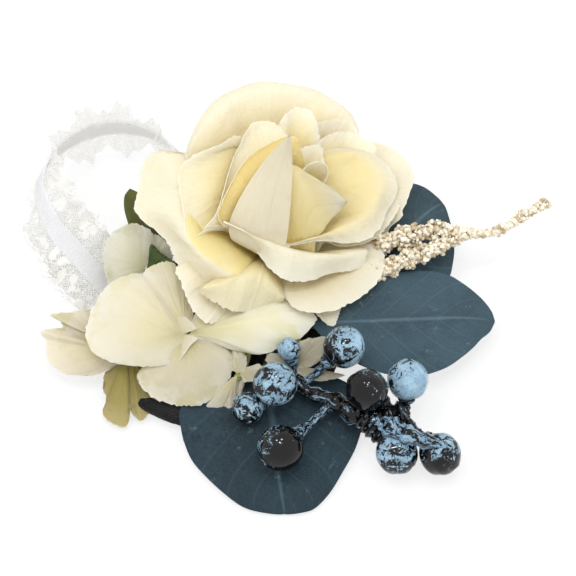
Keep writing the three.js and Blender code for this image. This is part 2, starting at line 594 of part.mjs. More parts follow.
// Eucalyptus and rose leaves: a blade of stiffened cloth between its two edges, on a wire that runs
// up behind its midrib.
const LEAF_SHARES = {
  leaf_front: {
    left: [
      [0.122, -0.132, 0.064], [-0.003, -0.16, 0.06], [-0.106, -0.23, 0.046], [-0.1, -0.352, 0.026],
      [-0.033, -0.46, 0.018], [0.063, -0.544, 0.014], [0.187, -0.569, 0.01],
    ],
    right: [
      [0.128, -0.132, 0.064], [0.258, -0.131, 0.064], [0.38, -0.173, 0.055], [0.416, -0.292, 0.036],
      [0.371, -0.413, 0.021], [0.303, -0.524, 0.015], [0.187, -0.569, 0.01],
    ],
  },
  leaf_right: {
    left: [
      [0.263, 0.004, 0.124], [0.341, 0.088, 0.13], [0.435, 0.151, 0.128], [0.542, 0.187, 0.118],
      [0.656, 0.184, 0.107], [0.753, 0.13, 0.093], [0.813, 0.037, 0.074],
    ],
    right: [
      [0.263, -0.003, 0.124], [0.339, -0.088, 0.113], [0.437, -0.144, 0.101], [0.549, -0.16, 0.091],
      [0.659, -0.132, 0.082], [0.745, -0.057, 0.078], [0.812, 0.033, 0.074],
    ],
  },
  leaf_back: {
    left: [
      [0.324, 0.174, 0.09], [0.349, 0.274, 0.089], [0.38, 0.373, 0.087], [0.424, 0.466, 0.083],
      [0.499, 0.535, 0.079], [0.6, 0.54, 0.071], [0.679, 0.476, 0.06],
    ],
    right: [
      [0.33, 0.16, 0.09], [0.432, 0.109, 0.088], [0.544, 0.11, 0.085], [0.648, 0.155, 0.08],
      [0.699, 0.252, 0.071], [0.702, 0.365, 0.066], [0.679, 0.476, 0.06],
    ],
  },
  rose_leaf: {
    left: [
      [-0.165, 0.1, 0.115], [-0.201, 0.154, 0.127], [-0.232, 0.211, 0.138], [-0.26, 0.269, 0.15],
      [-0.284, 0.329, 0.16], [-0.3, 0.393, 0.168], [-0.285, 0.455, 0.17],
    ],
    right: [
      [-0.165, 0.1, 0.115], [-0.152, 0.165, 0.126], [-0.155, 0.231, 0.138], [-0.172, 0.295, 0.151],
      [-0.197, 0.356, 0.161], [-0.233, 0.412, 0.169], [-0.285, 0.455, 0.17],
    ],
  },
};
const LEAF_ROOTS = {
  leaf_right: [0.9, 0.1, -0.5], leaf_back: [0.9, 0.6, 0],
  leaf_front: [0.9, -0.6, -0.3], rose_leaf: [-0.9, 0.4, 0.6],
};
const WIRE_SHARES = [0.02, 0.18, 0.34]; // where along a leaf its wire passes under the midrib
const LEAF_STEPS = 8;
const bladeNames = [];
const wireNames = [];
for (const [name, root] of Object.entries(LEAF_ROOTS)) {
  const edges = wrap(LEAF_SHARES[name].left, LEAF_SHARES[name].right);
  const green = name === "rose_leaf";
  const blade = (grow) =>
    sheet(railSurface(edges, LEAF_CROWN, up, grow), steps(LEAF_STEPS), steps(4), LEAF_THICK + 2 * grow);
  add(name, green ? "green" : "teal", blade, [...onBase, ...layerNames.slice(-2), ...bladeNames]);
  const midrib = railSurface(edges, LEAF_CROWN, up, 0);
  const drop = LEAF_WIRE_RADIUS + LEAF_THICK * HALF + CLEARANCE;
  const under = (share) => midrib(share, HALF).sub(vector(0, 0, drop));
  bladeNames.push(name);
  const wireRoute = [bundlePoint(root), ...WIRE_SHARES.map(under)];
  const others = [...bladeNames, ...layerNames, "rose_calyx"];
  wireNames.push(addWire(name + "_wire", "green", wireRoute, LEAF_WIRE_RADIUS, others));
}

// Berry spray: painted foam berries on the twigs of one moulded stem. Each berry has a blossom
// scar, a shallow rim at the end away from its twig.
const BERRIES = [
  { at: [0.36, -0.123, 0.19], size: 1, from: 1 },
  { at: [0.161, -0.229, 0.16], size: 1.04, from: 1 },
  { at: [0.083, -0.276, 0.104], size: 0.76, from: 1 },
  { at: [0.177, -0.409, 0.108], size: 1.07, from: 2 },
  { at: [0.423, -0.266, 0.19], size: 1, from: 4 },
  { at: [0.542, -0.214, 0.158], size: 0.98, from: 4 },
  { at: [0.508, -0.41, 0.08], size: 1, from: 3 },
  { at: [0.632, -0.413, 0.08], size: 1, from: 4 },
  { at: [0.201, -0.111, 0.16], size: 0.54, from: 1 },
];
const SPRAY_SHARES = [
  [0.16, -0.02, 0.1], [0.23, -0.2, 0.1], [0.33, -0.25, 0.1], [0.43, -0.32, 0.105], [0.535, -0.31, 0.11],
];

const SPRAY_SIDES = 5;
const sprayRoute = [bundlePoint([0.9, -0.1, 0.1]), ...SPRAY_SHARES.map(place)];
const sprayFrom = (index) => sprayRoute[index + 1];
const berryNames = [];
const BERRY_SIDES = 8;
const BERRY_SHARES = [
  [0, -1], [0.5, -0.87], [0.87, -0.5], [1, 0], [0.87, 0.5], [0.5, 0.87], [0.28, 0.96], [0.2, 0.9], [0, 0.88],
];
BERRIES.forEach(({ at, size, from }, i) => {
  const middle = place(at);
  const frame = frameOn(middle, middle.clone().sub(sprayFrom(from)));
  const make = (grow) => {
    const radius = BERRY_RADIUS * size + grow;
    const profile = BERRY_SHARES.map(([across, rise]) => [radius * across, radius * rise]);
    return moved(turned(profile, BERRY_SIDES), frame);
  };
  berryNames.push(add("berry_" + (i + 1), "berry", make, [...berryNames, ...layerNames.slice(-1)]));
});
add(
  "berry_spray_stem",
  "stem",
  (grow) => {
    const main = rod(sprayRoute, SPRAY_STEM_RADIUS + grow, SPRAY_SIDES, 3);
    const twigs = BERRIES.map(({ at, size, from }) => {
      const start = sprayFrom(from);
      const reach = BERRY_RADIUS * size + CLEARANCE - grow;
      const end = along(place(at), place(at).sub(start).normalize(), -reach);
      const knee = start.clone().lerp(end, HALF).add(vector(0, 0, -SPRAY_TWIG_RADIUS));
      return rod([start, knee, end], SPRAY_TWIG_RADIUS + grow, SPRAY_SIDES, 1);
    });
    return union([main, ...twigs]);
  },
  [...onBase, ...bladeNames, ...wireNames, ...berryNames, ...layerNames.slice(-1)],
);

// Hydrangea florets: four petals in one die-cut piece, pinned by the bead of a stalk.
const FLORET_SHARES = {
  floret_front: {
    at: [-0.095, -0.082, 0.185],
    petals: [
      // left
      fan(10, -22, [
        [-0.002, -0.028, -0.005], [-0.085, -0.078, -0.041], [-0.199, -0.065, -0.05],
        [-0.29, -0.004, -0.04], [-0.28, 0.1, -0.005], [-0.205, 0.178, 0.027], [-0.102, 0.184, 0.006],
        [-0.052, 0.082, 0],
      ]),
      // top
      fan(16, -10, [
        [-0.05, 0.033, 0.001], [-0.092, 0.091, 0.016], [-0.123, 0.156, 0.026], [-0.111, 0.219, 0.035],
        [-0.045, 0.234, 0.028], [-0.004, 0.179, 0.007], [0.015, 0.11, -0.002], [0.019, 0.037, -0.005],
      ]),
      // bottom
      fan(-12, -46, [
        [-0.02, -0.025, -0.01], [-0.103, -0.043, -0.057], [-0.133, -0.11, -0.096],
        [-0.054, -0.157, -0.121], [0.042, -0.159, -0.121], [0.114, -0.103, -0.092],
        [0.124, -0.025, -0.046], [0.038, -0.011, -0.01],
      ]),
      // right
      fan(2, -26, [
        [0.009, -0.014, -0.005], [0.124, -0.022, -0.032], [0.24, -0.027, -0.045], [0.342, 0.034, -0.045],
        [0.345, 0.128, -0.038], [0.229, 0.142, -0.026], [0.119, 0.099, -0.013], [0.025, 0.028, -0.001],
      ]),
    ],
  },
  floret_left: {
    at: [-0.272, -0.082, 0.095],
    petals: [
      // far
      fan(8, 10, [
        [-0.022, -0.031, -0.005], [-0.127, -0.064, -0.025], [-0.23, -0.03, -0.01], [-0.25, 0.054, 0.035],
        [-0.141, 0.074, 0.013], [-0.036, 0.031, 0.005],
      ]),
      // upper
      fan(14, 24, [
        [-0.054, 0.021, 0.005], [-0.147, 0.033, 0.018], [-0.211, 0.091, 0.049], [-0.157, 0.111, 0.052],
        [-0.071, 0.108, 0.028], [-0.013, 0.038, 0.005],
      ]),
      // hanging
      fan(-10, -16, [
        [-0.017, -0.021, -0.01], [-0.072, -0.082, -0.043], [-0.07, -0.172, -0.067],
        [0.003, -0.202, -0.071], [-0.002, -0.11, -0.047], [0, -0.022, -0.009],
      ]),
      // folded
      fan(-12, -8, [
        [0, -0.025, -0.015], [0, -0.099, -0.044], [0.016, -0.175, -0.063], [0.071, -0.159, -0.062],
        [0.078, -0.098, -0.046], [0.035, -0.035, -0.021],
      ]),
    ],
  },
  floret_back: {
    at: [-0.226, 0.172, 0.142],
    petals: [
      // tall
      fan(26, 30, [
        [-0.024, -0.032, -0.022], [-0.115, -0.022, -0.029], [-0.131, 0.065, 0.006],
        [-0.077, 0.129, 0.045], [0.012, 0.116, 0.045], [0.02, 0.032, 0.003],
      ]),
      // right
      fan(20, 10, [
        [0.023, 0.019, -0.002], [0.017, 0.063, 0.013], [0.02, 0.106, 0.031], [0.056, 0.088, 0.028],
        [0.078, 0.05, 0.012], [0.059, 0.015, -0.006],
      ]),
      // low
      fan(-4, -20, [
        [-0.024, -0.021, -0.016], [-0.053, -0.051, -0.031], [-0.039, -0.088, -0.047],
        [0.003, -0.097, -0.052], [0.037, -0.073, -0.041], [0.036, -0.032, -0.022],
      ]),
    ],
  },
  floret_lower: {
    at: [0.053, -0.172, 0.115],
    petals: [
      // white
      fan(-24, -40, [
        [-0.018, -0.005, -0.009], [-0.057, -0.028, -0.036], [-0.089, -0.06, -0.06],
        [-0.054, -0.082, -0.071], [-0.01, -0.059, -0.059], [0.005, -0.02, -0.029],
      ]),
      // strip
      fan(-20, -70, [
        [-0.012, 0.022, 0.003], [-0.016, 0.07, 0.02], [0.008, 0.035, 0.005], [0.013, -0.009, -0.022],
        [0.006, -0.049, -0.053], [-0.002, -0.016, -0.025],
      ]),
      // back
      fan(10, 0, [
        [-0.018, 0.014, 0.005], [-0.034, 0.039, 0.012], [-0.024, 0.064, 0.019], [0.004, 0.07, 0.021],
        [0.025, 0.049, 0.015], [0.023, 0.021, 0.005],
      ]),
      // right
      fan(0, -10, [
        [0.011, 0.015, 0.003], [0.04, 0.031, 0.005], [0.072, 0.027, 0.002], [0.078, -0.001, -0.006],
        [0.05, -0.017, -0.009], [0.017, -0.02, -0.007],
      ]),
    ],
  },
  floret_dried: {
    at: [0.215, -0.148, 0.126],
    petals: [
      // long
      fan(24, -8, [
        [-0.011, 0.011, 0.004], [0.018, 0.054, 0.029], [0.07, 0.075, 0.04], [0.1, 0.046, 0.025],
        [0.067, 0.004, 0.008], [0.012, -0.007, 0],
      ]),
      // narrow
      fan(0, -10, [
        [0.012, -0.013, -0.002], [0.068, -0.017, -0.01], [0.125, -0.017, -0.014],
        [0.118, -0.034, -0.018], [0.062, -0.04, -0.015], [0.009, -0.022, -0.004],
      ]),
      // left
      fan(10, 0, [
        [-0.005, -0.018, -0.004], [-0.039, -0.017, -0.002], [-0.069, -0.003, 0.004],
        [-0.077, 0.025, 0.014], [-0.048, 0.034, 0.016], [-0.017, 0.022, 0.008],
      ]),
      // front
      fan(-10, -20, [
        [0.006, -0.017, -0.006], [0.017, -0.038, -0.021], [0.01, -0.06, -0.033],
        [-0.014, -0.064, -0.036], [-0.023, -0.044, -0.024], [-0.017, -0.023, -0.008],
      ]),
    ],
  },
};
const FLORET_ENDS = {
  floret_front: [-0.9, 0.1, 0.75],
  floret_left: [-0.9, -0.5, -0.4],
  floret_back: [-0.9, 0.55, 0.2],
  floret_lower: [0.1, -0.5, 0],
  floret_dried: [0.9, -0.2, 0.8],
};
const floretHub = { radius: FLORET_HUB_RADIUS, thick: HUB_THICK, bore: FLORET_STALK_RADIUS + CLEARANCE };
const floretNames = [];
const FLORET_FINENESS = { rows: [2], columns: 6 };
const SMALL_FINENESS = { rows: [2], columns: 4 };
for (const [name, { at, petals }] of Object.entries(FLORET_SHARES)) {
  const middle = place(at);
  const lean = up();
  const frame = frameOn(middle, lean);
  const finish = name === "floret_dried" ? "beige" : "floret";
  const fineness = name === "floret_front" ? FLORET_FINENESS : SMALL_FINENESS;
  const blades = (grow) => moved(petalLayer(petals, floretHub, 0, fineness, grow), frame);
  const under = along(middle, lean, -2 * FLORET_HUB_RADIUS);
  const top = along(middle, lean, floretHub.thick + FLORET_STALK_RADIUS);
  const root = bundlePoint(FLORET_ENDS[name]);
  const away = root.clone().sub(bundleMiddle).normalize();
  const stalk = (grow) => {
    const bead = turned(
      [
        [0, floretHub.thick + CLEARANCE - grow],
        [FLORET_HUB_RADIUS * HALF + grow, floretHub.thick + CLEARANCE - grow],
        [FLORET_HUB_RADIUS * HALF + grow, floretHub.thick + FLORET_HUB_RADIUS * HALF],
        [0, floretHub.thick + FLORET_HUB_RADIUS + grow],
      ],
      8,
    );
    const route = [root, along(root, away, 2 * BUNDLE_RADIUS), under, top];
    return rod(route, FLORET_STALK_RADIUS + grow, 6, 3).add(moved(bead, frame));
  };
  add(name + "_stalk", "green", stalk, [
    ...onBase, ...layerNames.slice(-1), ...bladeNames, "berry_spray_stem",
  ]);
  add(name, finish, blades, [
    name + "_stalk", ...onBase, ...berryNames, "berry_spray_stem",
    ...layerNames.slice(-2), ...floretNames, ...bladeNames,
  ]);
  floretNames.push(name, name + "_stalk");
}

// Filler sprig: two wires set with foam grains, one to the tip and one that ends where they meet.
const SPRIG = {
  sprig_upper_strand: {
    route: [
      [0.39, 0.213, 0.13], [0.507, 0.276, 0.151], [0.637, 0.304, 0.16], [0.771, 0.298, 0.154],
      [0.888, 0.355, 0.142], [0.996, 0.434, 0.13],
    ],
    ends: [0.9, 0.35, 0.55], grains: 13, first: 0.36, spread: 1.2,
  },
  sprig_lower_strand: {
    route: [
      [0.389, 0.145, 0.124], [0.505, 0.191, 0.136], [0.619, 0.242, 0.145], [0.732, 0.297, 0.15],
    ],
    ends: [0.9, 0.1, 0.5], grains: 8, first: 0.4, spread: 1.2,
  },
};
const GOLDEN_TURN = Math.PI * (3 - Math.sqrt(5));
const strandNames = [];
for (const [name, { route, ends, grains, first, spread }] of Object.entries(SPRIG)) {
  const points = [bundlePoint(ends), ...route.map(place)];
  const path = new THREE.CatmullRomCurve3(points);
  const make = (grow) => {
    const wire = rod(points, SPRIG_WIRE_RADIUS + grow, 4, 2);
    const set = steps(grains - 1).map((share, i) => {
      const s = mix(first, 1, share);
      const size = GRAIN_RADIUS * mix(1, HALF, share * share) + grow;
      const out = vector(0, Math.cos(i * GOLDEN_TURN), Math.sin(i * GOLDEN_TURN));
      const centre = along(path.getPointAt(s), out, size * spread * HALF);
      const grain = new THREE.OctahedronGeometry(size).rotateZ(i).rotateX(i * HALF);
      return solidOf(grain.translate(centre.x, centre.y, centre.z));
    });
    return union([wire, ...set]);
  };
  add(name, "grain", make, [...onBase, ...bladeNames, ...layerNames, "rose_calyx", ...strandNames]);
  strandNames.push(name);
}

// Wristlet: a loop of gathered lace with an elastic along its middle. Its two ends come flat under
// the pad's rim, where the band folds along one line, the swing axis, and are sewn and glued there.
// The loop's route gives places round it, and lean its tilt from upright toward the loop's inside.
const FOLD_MIDDLE_SHARES = [-0.14, 0.2, 0];
const FOLD_AZIMUTH = 37;
const FOLD_HALF_SHARE = 0.17; // half the distance between the band's two ends
const LOOP_SHARES = [[-0.43, 0.265], [-0.52, 0.37], [-0.56, 0.5], [-0.505, 0.62], [-0.38, 0.695],
  [-0.24, 0.68], [-0.13, 0.59], [-0.08, 0.48]];
const LEANS = [90, 89, 64, 42, 26, 8, 0, 5, 22, 52, 87, 90];
const RUFFLE_WAVES = 11;
const BAND_STEPS = 66;
const foldAlong = vector(Math.cos(radians(FOLD_AZIMUTH)), Math.sin(radians(FOLD_AZIMUTH)), 0);
const foldOut = vector(-foldAlong.y, foldAlong.x, 0);
const foldMiddle = place(FOLD_MIDDLE_SHARES);
const foldEnd = (side) => along(foldMiddle, foldAlong, side * FOLD_HALF_SHARE * SPREAD);
const straight = LACE_WIDTH * HALF * HALF;
const loopRoute = [
  foldEnd(-1),
  along(foldEnd(-1), foldOut, straight),
  ...LOOP_SHARES.map(([x, y]) => place([x, y, 0])),
  along(foldEnd(1), foldOut, straight),
  foldEnd(1),
];
const loopPath = new THREE.CatmullRomCurve3(loopRoute, false, "centripetal");
const leanAt = (s) => {
  const k = Math.min(Math.floor(s * (LEANS.length - 1)), LEANS.length - 2);
  return radians(mix(LEANS[k], LEANS[k + 1], s * (LEANS.length - 1) - k));
};

// The band's frame at a share of the loop: its middle, and the directions across and out of it.
function bandFrame(share) {
  const tangent = loopPath.getTangent(share);
  const inward = vector(tangent.y, -tangent.x, 0).normalize();
  const lean = leanAt(share);
  const across = up().multiplyScalar(Math.cos(lean)).addScaledVector(inward, Math.sin(lean));
  const out = up().multiplyScalar(Math.sin(lean)).addScaledVector(inward, -Math.cos(lean));
  const free = smooth(Math.min(1, Math.min(share, 1 - share) * LEANS.length * HALF));
  const height = LACE_THICK * HALF + HALF * LACE_WIDTH * Math.cos(lean) + RUFFLE_DEPTH * free;
  return { middle: loopPath.getPoint(share).setZ(height), across, out, free };
}
const bandRows = steps(BAND_STEPS);
add(
  "lace_ruffle",
  "white",
  (grow) =>
    sheet(
      (share, t) => {
        const { middle, across, out, free } = bandFrame(share);
        const wave = Math.sin(2 * Math.PI * (RUFFLE_WAVES * share + (t > 0 ? HALF : 0)));
        const reach = mix(HALF * HALF + HALF, 1, free) * (HALF * LACE_WIDTH + grow);
        return along(along(middle, across, t * reach), out, RUFFLE_DEPTH * free * wave * t * t);
      },
      bandRows,
      [-1, -0.5, 0.5, 1],
      LACE_THICK + 2 * grow,
    ),
  ["felt_backing_pad"],
);
add("wrist_elastic", "white", (grow) =>
  sheet(
    (share, t) => {
      const { middle, across, out } = bandFrame(share);
      const off = HALF * LACE_THICK + CLEARANCE + HALF * ELASTIC_THICK;
      return along(along(middle, across, t * (HALF * ELASTIC_WIDTH + grow)), out, off);
    },
    bandRows,
    [-1, 1],
    ELASTIC_THICK + 2 * grow,
  ),
  ["felt_backing_pad", "lace_ruffle"],
);

// The band's sewn ends: the strip from both ends of the loop, gathered to a patch under the pad.
const PATCH_DEPTH = 24;
const PATCH_HALF_WIDTH = 10;
add("band_glued_ends", "white", (grow) => {
  const gap = CLEARANCE - grow;
  const wide = HALF * LACE_WIDTH * (HALF + HALF * HALF) + grow;
  const outer = along(foldMiddle, foldOut, -gap);
  const inner = along(foldMiddle, foldOut, -PATCH_DEPTH - grow);
  const reach = FOLD_HALF_SHARE * SPREAD + wide;
  const corners = [
    along(outer, foldAlong, -reach), along(inner, foldAlong, -PATCH_HALF_WIDTH - grow),
    along(inner, foldAlong, PATCH_HALF_WIDTH + grow), along(outer, foldAlong, reach),
  ];
  return plate(corners.map(({ x, y }) => [x, y]), -grow, seatTop + grow);
});

// The origin is the middle of the underside of everything.
const bounds = new THREE.Box3().setFromObject(corsage, true);
const middle = bounds.getCenter(vector(0, 0, 0));
corsage.position.set(-middle.x, -middle.y, -bounds.min.z);
const inFrame = (point) => point.clone().add(corsage.position).toArray().map((v) => +v.toFixed(2));
console.log("swing axis through", inFrame(foldMiddle.clone().setZ(0)), "along", foldAlong.toArray());
console.log("table face at", inFrame(along(foldMiddle, foldOut, -HALF * PATCH_DEPTH)));

export default corsage;
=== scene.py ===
"""A wrist corsage dressed for its picture.

An ivory cloth rose with hydrangea florets, dusty blue eucalyptus leaves, a painted berry spray and
a foam-grain sprig is bound with floral tape and glued to an oval felt pad on an elastic lace band.
Every piece is worked out in millimetres about the middle of the felt pad, +X to the right, +Y to
the back and +Z up, and is then put where the frame has that pad.
"""

import logging
import math
from dataclasses import dataclass, field, replace
from enum import Enum
from itertools import combinations

import bpy
import numpy as np
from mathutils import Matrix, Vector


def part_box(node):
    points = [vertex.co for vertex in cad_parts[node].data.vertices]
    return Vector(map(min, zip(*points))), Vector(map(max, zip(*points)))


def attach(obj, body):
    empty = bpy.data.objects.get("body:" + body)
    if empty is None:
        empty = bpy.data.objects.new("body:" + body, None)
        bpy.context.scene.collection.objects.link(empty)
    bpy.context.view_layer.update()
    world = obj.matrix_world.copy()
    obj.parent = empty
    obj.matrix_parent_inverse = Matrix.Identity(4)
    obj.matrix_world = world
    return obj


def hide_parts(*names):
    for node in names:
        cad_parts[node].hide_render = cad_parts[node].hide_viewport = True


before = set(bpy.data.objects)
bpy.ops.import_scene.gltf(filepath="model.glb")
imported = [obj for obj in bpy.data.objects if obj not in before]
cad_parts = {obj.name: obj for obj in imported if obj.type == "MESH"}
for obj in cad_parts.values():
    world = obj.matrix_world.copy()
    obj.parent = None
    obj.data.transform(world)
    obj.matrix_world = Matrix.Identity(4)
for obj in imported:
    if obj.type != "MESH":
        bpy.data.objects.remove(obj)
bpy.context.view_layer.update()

LOG = logging.getLogger("corsage")
MM = 0.001
Point = tuple[float, float, float]
Route = tuple[Point, ...]
Material = bpy.types.Material
Node = bpy.types.Node
NodeTree = bpy.types.NodeTree
Socket = bpy.types.NodeSocket
Colour = tuple[int, int, int]
Profile = tuple[tuple[float, float], ...]
UP = np.array([0.0, 0.0, 1.0])
CLOTH_LAYER = "cloth"
TONE_LAYER = "tone"


class Body(Enum):
    """The two bodies of the frame that pieces ride on."""

    FLOWERS = "flower_head"
    WRISTLET = "wristlet"


class Slot(Enum):
    """The record's material slots."""

    FELT = "felt"
    GLUE = "glue"
    TAPE = "tape"
    GREEN = "green"
    IVORY = "ivory"
    FLORET = "floret"
    BEIGE = "beige"
    TEAL = "teal"
    BERRY = "berry"
    STEM = "stem"
    GRAIN = "grain"
    LACE = "lace"
    ELASTIC = "elastic"


def pad_middle() -> np.ndarray:
    """The middle of the felt pad on the table, in metres."""
    low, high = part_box("felt_backing_pad")
    return np.array([(low.x + high.x) / 2, (low.y + high.y) / 2, 0.0])


PAD_MIDDLE = pad_middle()


# Curves and surfaces


def unit(vectors: np.ndarray) -> np.ndarray:
    """Vectors of length one along the same directions."""
    return vectors / np.maximum(np.linalg.norm(vectors, axis=-1, keepdims=True), 1e-12)


def smooth(share: np.ndarray) -> np.ndarray:
    """Ease from 0 to 1: 3x^2 - 2x^3 of the share held between 0 and 1."""
    held = np.clip(share, 0, 1)
    return held * held * (3 - 2 * held)


def hermite(
    knots: np.ndarray, shares: np.ndarray, first: np.ndarray, last: np.ndarray, at: np.ndarray
) -> np.ndarray:
    """Cubic Hermite curve through knots.

    Between two knots it is the usual blend of both places and both slopes, and an inner knot's
    slope is the line between its neighbours.

    Args:
        knots: Places, with the knot number as the first axis.
        shares: Where each knot lies between 0 and 1.
        first: Slope at the first knot, per share.
        last: Slope at the last knot, per share.
        at: Shares to work the curve out at.

    Returns:
        Places with the number of the share as the first axis.
    """
    slopes = np.empty_like(knots)
    slopes[0], slopes[-1] = first, last
    if len(knots) > 2:
        width = (shares[2:] - shares[:-2]).reshape(-1, *[1] * (knots.ndim - 1))
        slopes[1:-1] = (knots[2:] - knots[:-2]) / width
    k = np.clip(np.searchsorted(shares, at, side="right") - 1, 0, len(shares) - 2)
    column = (len(at), *[1] * (knots.ndim - 1))
    span = (shares[k + 1] - shares[k]).reshape(column)
    u = ((at - shares[k]).reshape(column)) / span
    return (
        (2 * u**3 - 3 * u**2 + 1) * knots[k]
        + (u**3 - 2 * u**2 + u) * span * slopes[k]
        + (3 * u**2 - 2 * u**3) * knots[k + 1]
        + (u**3 - u**2) * span * slopes[k + 1]
    )


def spline(points: Route | list[np.ndarray], count: int) -> np.ndarray:
    """Smooth curve through points, at even steps of its length.

    Args:
        points: Places that the curve passes.
        count: How many places it is given at.

    Returns:
        Array of count places.
    """
    knots = np.array(points, float)
    chords = np.concatenate([[0], np.cumsum(np.linalg.norm(np.diff(knots, axis=0), axis=1))])
    shares = chords / chords[-1]
    ends = (knots[1] - knots[0]) / shares[1], (knots[-1] - knots[-2]) / (1 - shares[-2])
    fine = hermite(knots, shares, *ends, np.linspace(0, 1, 24 * len(knots)))
    run = np.concatenate([[0], np.cumsum(np.linalg.norm(np.diff(fine, axis=0), axis=1))])
    at = np.linspace(0, run[-1], count)
    return np.stack([np.interp(at, run, fine[:, axis]) for axis in range(3)], axis=1)


def normals_of(grid: np.ndarray) -> np.ndarray:
    """Unit normals of a grid of places: its rows' direction crossed with its columns' direction."""
    return unit(np.cross(np.gradient(grid, axis=0), np.gradient(grid, axis=1)))


def waves(shares: np.ndarray, seed: int, pitches: tuple[float, ...]) -> np.ndarray:
    """A wavy line: the sum of one sine for each pitch, each with its own start and a smaller height.

    Args:
        shares: Places along the line, from 0 to 1.
        seed: Start of the random numbers that the sines' starts come from.
        pitches: How many waves of each sine fit on the line.

    Returns:
        The line's height at each place.
    """
    starts = np.random.default_rng(seed).uniform(0, 2 * math.pi, len(pitches))
    parts = [
        np.sin(2 * math.pi * pitch * shares + start) / (1 + i)
        for i, (pitch, start) in enumerate(zip(pitches, starts))
    ]
    return np.sum(parts, axis=0)


# Meshes


@dataclass
class Shape:
    """Corners and faces of a mesh in millimetres about the pad's middle, with cloth coordinates and a
    tone for each corner where its finish reads them."""

    corners: np.ndarray
    faces: list[np.ndarray]
    uv: np.ndarray | None = None
    tone: np.ndarray | None = None

    def mesh(self, name: str, sharp: float = 50.0) -> bpy.types.Mesh:
        """The shape as a mesh at its place in the frame, with its faces outwards.

        Args:
            name: The mesh's name.
            sharp: Edges that turn more than this many degrees are drawn sharp.

        Returns:
            The mesh.
        """
        mesh = bpy.data.meshes.new(name)
        place = self.corners * MM + PAD_MIDDLE
        loops = np.concatenate([part.ravel() for part in self.faces]).astype(np.int32)
        sizes = np.concatenate([np.full(len(part), part.shape[1], np.int32) for part in self.faces])
        starts = np.concatenate([[0], np.cumsum(sizes)[:-1]]).astype(np.int32)
        mesh.vertices.add(len(place))
        mesh.vertices.foreach_set("co", place.astype(np.float32).ravel())
        mesh.loops.add(len(loops))
        mesh.loops.foreach_set("vertex_index", loops)
        mesh.polygons.add(len(sizes))
        mesh.polygons.foreach_set("loop_start", starts)
        mesh.polygons.foreach_set("use_smooth", np.ones(len(sizes), bool))
        if self.uv is not None:
            layer = mesh.uv_layers.new(name=CLOTH_LAYER)
            layer.data.foreach_set("uv", self.uv[loops].astype(np.float32).ravel())
        if self.tone is not None:
            tone = mesh.attributes.new(TONE_LAYER, "FLOAT", "POINT")
            tone.data.foreach_set("value", self.tone.astype(np.float32))
        mesh.update(calc_edges=True)
        mesh.validate()
        mesh.set_sharp_from_angle(angle=math.radians(sharp))
        return mesh

    def put(self, place: "Place") -> "Shape":
        """The shape moved from a frame of its own to its place."""
        return replace(self, corners=place.put(self.corners))

    def toned(self, tone: float) -> "Shape":
        """The shape with one tone at all its corners."""
        return replace(self, tone=np.full(len(self.corners), tone))


def joined(shapes: list[Shape]) -> Shape:
    """Several shapes of one kind as one.

    Args:
        shapes: The shapes. All or none of them have cloth coordinates, and tones.

    Returns:
        The shape of them all.
    """
    starts = np.concatenate([[0], np.cumsum([len(s.corners) for s in shapes])[:-1]])
    faces = [part + start for s, start in zip(shapes, starts) for part in s.faces]
    uv = None if shapes[0].uv is None else np.concatenate([s.uv for s in shapes])
    tone = None if shapes[0].tone is None else np.concatenate([s.tone for s in shapes])
    return Shape(np.concatenate([s.corners for s in shapes]), faces, uv, tone)


def sheet(grid: np.ndarray, thick: np.ndarray | float) -> Shape:
    """Closed sheet of cloth round a grid: the grid moved half its thickness to either side, with a
    wall round its four edges.

    Args:
        grid: Places by row and column, in millimetres.
        thick: The cloth's thickness, one number or one for each row and column.

    Returns:
        The shape, with cloth coordinates across and along the sheet from 0 to 1, and a tone of 1
        on the face that the grid's normals point to and 0 on the other.
    """
    rows, columns = grid.shape[:2]
    half = normals_of(grid) * np.broadcast_to(np.asarray(thick, float) / 2, (rows, columns))[..., None]
    corners = np.concatenate([(grid + half).reshape(-1, 3), (grid - half).reshape(-1, 3)])
    under = rows * columns
    a = (np.arange(rows - 1)[:, None] * columns + np.arange(columns - 1)).ravel()
    left = np.arange(rows - 1) * columns
    right = left + columns - 1
    foot = np.arange(columns - 1)
    head = foot + under - columns
    quads = [
        np.stack([a, a + columns, a + columns + 1, a + 1], axis=1),
        np.stack([a + under, a + 1 + under, a + columns + 1 + under, a + columns + under], axis=1),
        np.stack([left + columns, left, left + under, left + columns + under], axis=1),
        np.stack([right, right + columns, right + columns + under, right + under], axis=1),
        np.stack([foot, foot + 1, foot + 1 + under, foot + under], axis=1),
        np.stack([head + 1, head, head + under, head + 1 + under], axis=1),
    ]
    across, along = np.meshgrid(np.linspace(0, 1, columns), np.linspace(0, 1, rows))
    uv = np.stack([across.ravel(), along.ravel()], axis=1)
    face = np.concatenate([np.ones(under), np.zeros(under)])
    return Shape(corners, quads, np.concatenate([uv, uv]), face)


def turned(profile: Profile | list | np.ndarray, sides: int) -> Shape:
    """Closed turned shape: a profile of radius and height, from the axis to the axis, carried round
    +Z. Its two ends are single corners on the axis.

    Args:
        profile: Radius and height pairs from the foot to the head.
        sides: Corners in one ring.

    Returns:
        The shape, with coordinates round and along its profile.
    """
    angles = np.linspace(0, 2 * math.pi, sides, endpoint=False)
    profile = np.array(profile, float)
    ring = profile[1:-1]
    heights = np.broadcast_to(ring[:, 1:], (len(ring), sides))
    rings = np.stack([ring[:, :1] * np.cos(angles), ring[:, :1] * np.sin(angles), heights], axis=2)
    ends = [0, 0, profile[0, 1]], [0, 0, profile[-1, 1]]
    return closed_rings(rings.reshape(-1, 3), len(ring), sides, *ends)


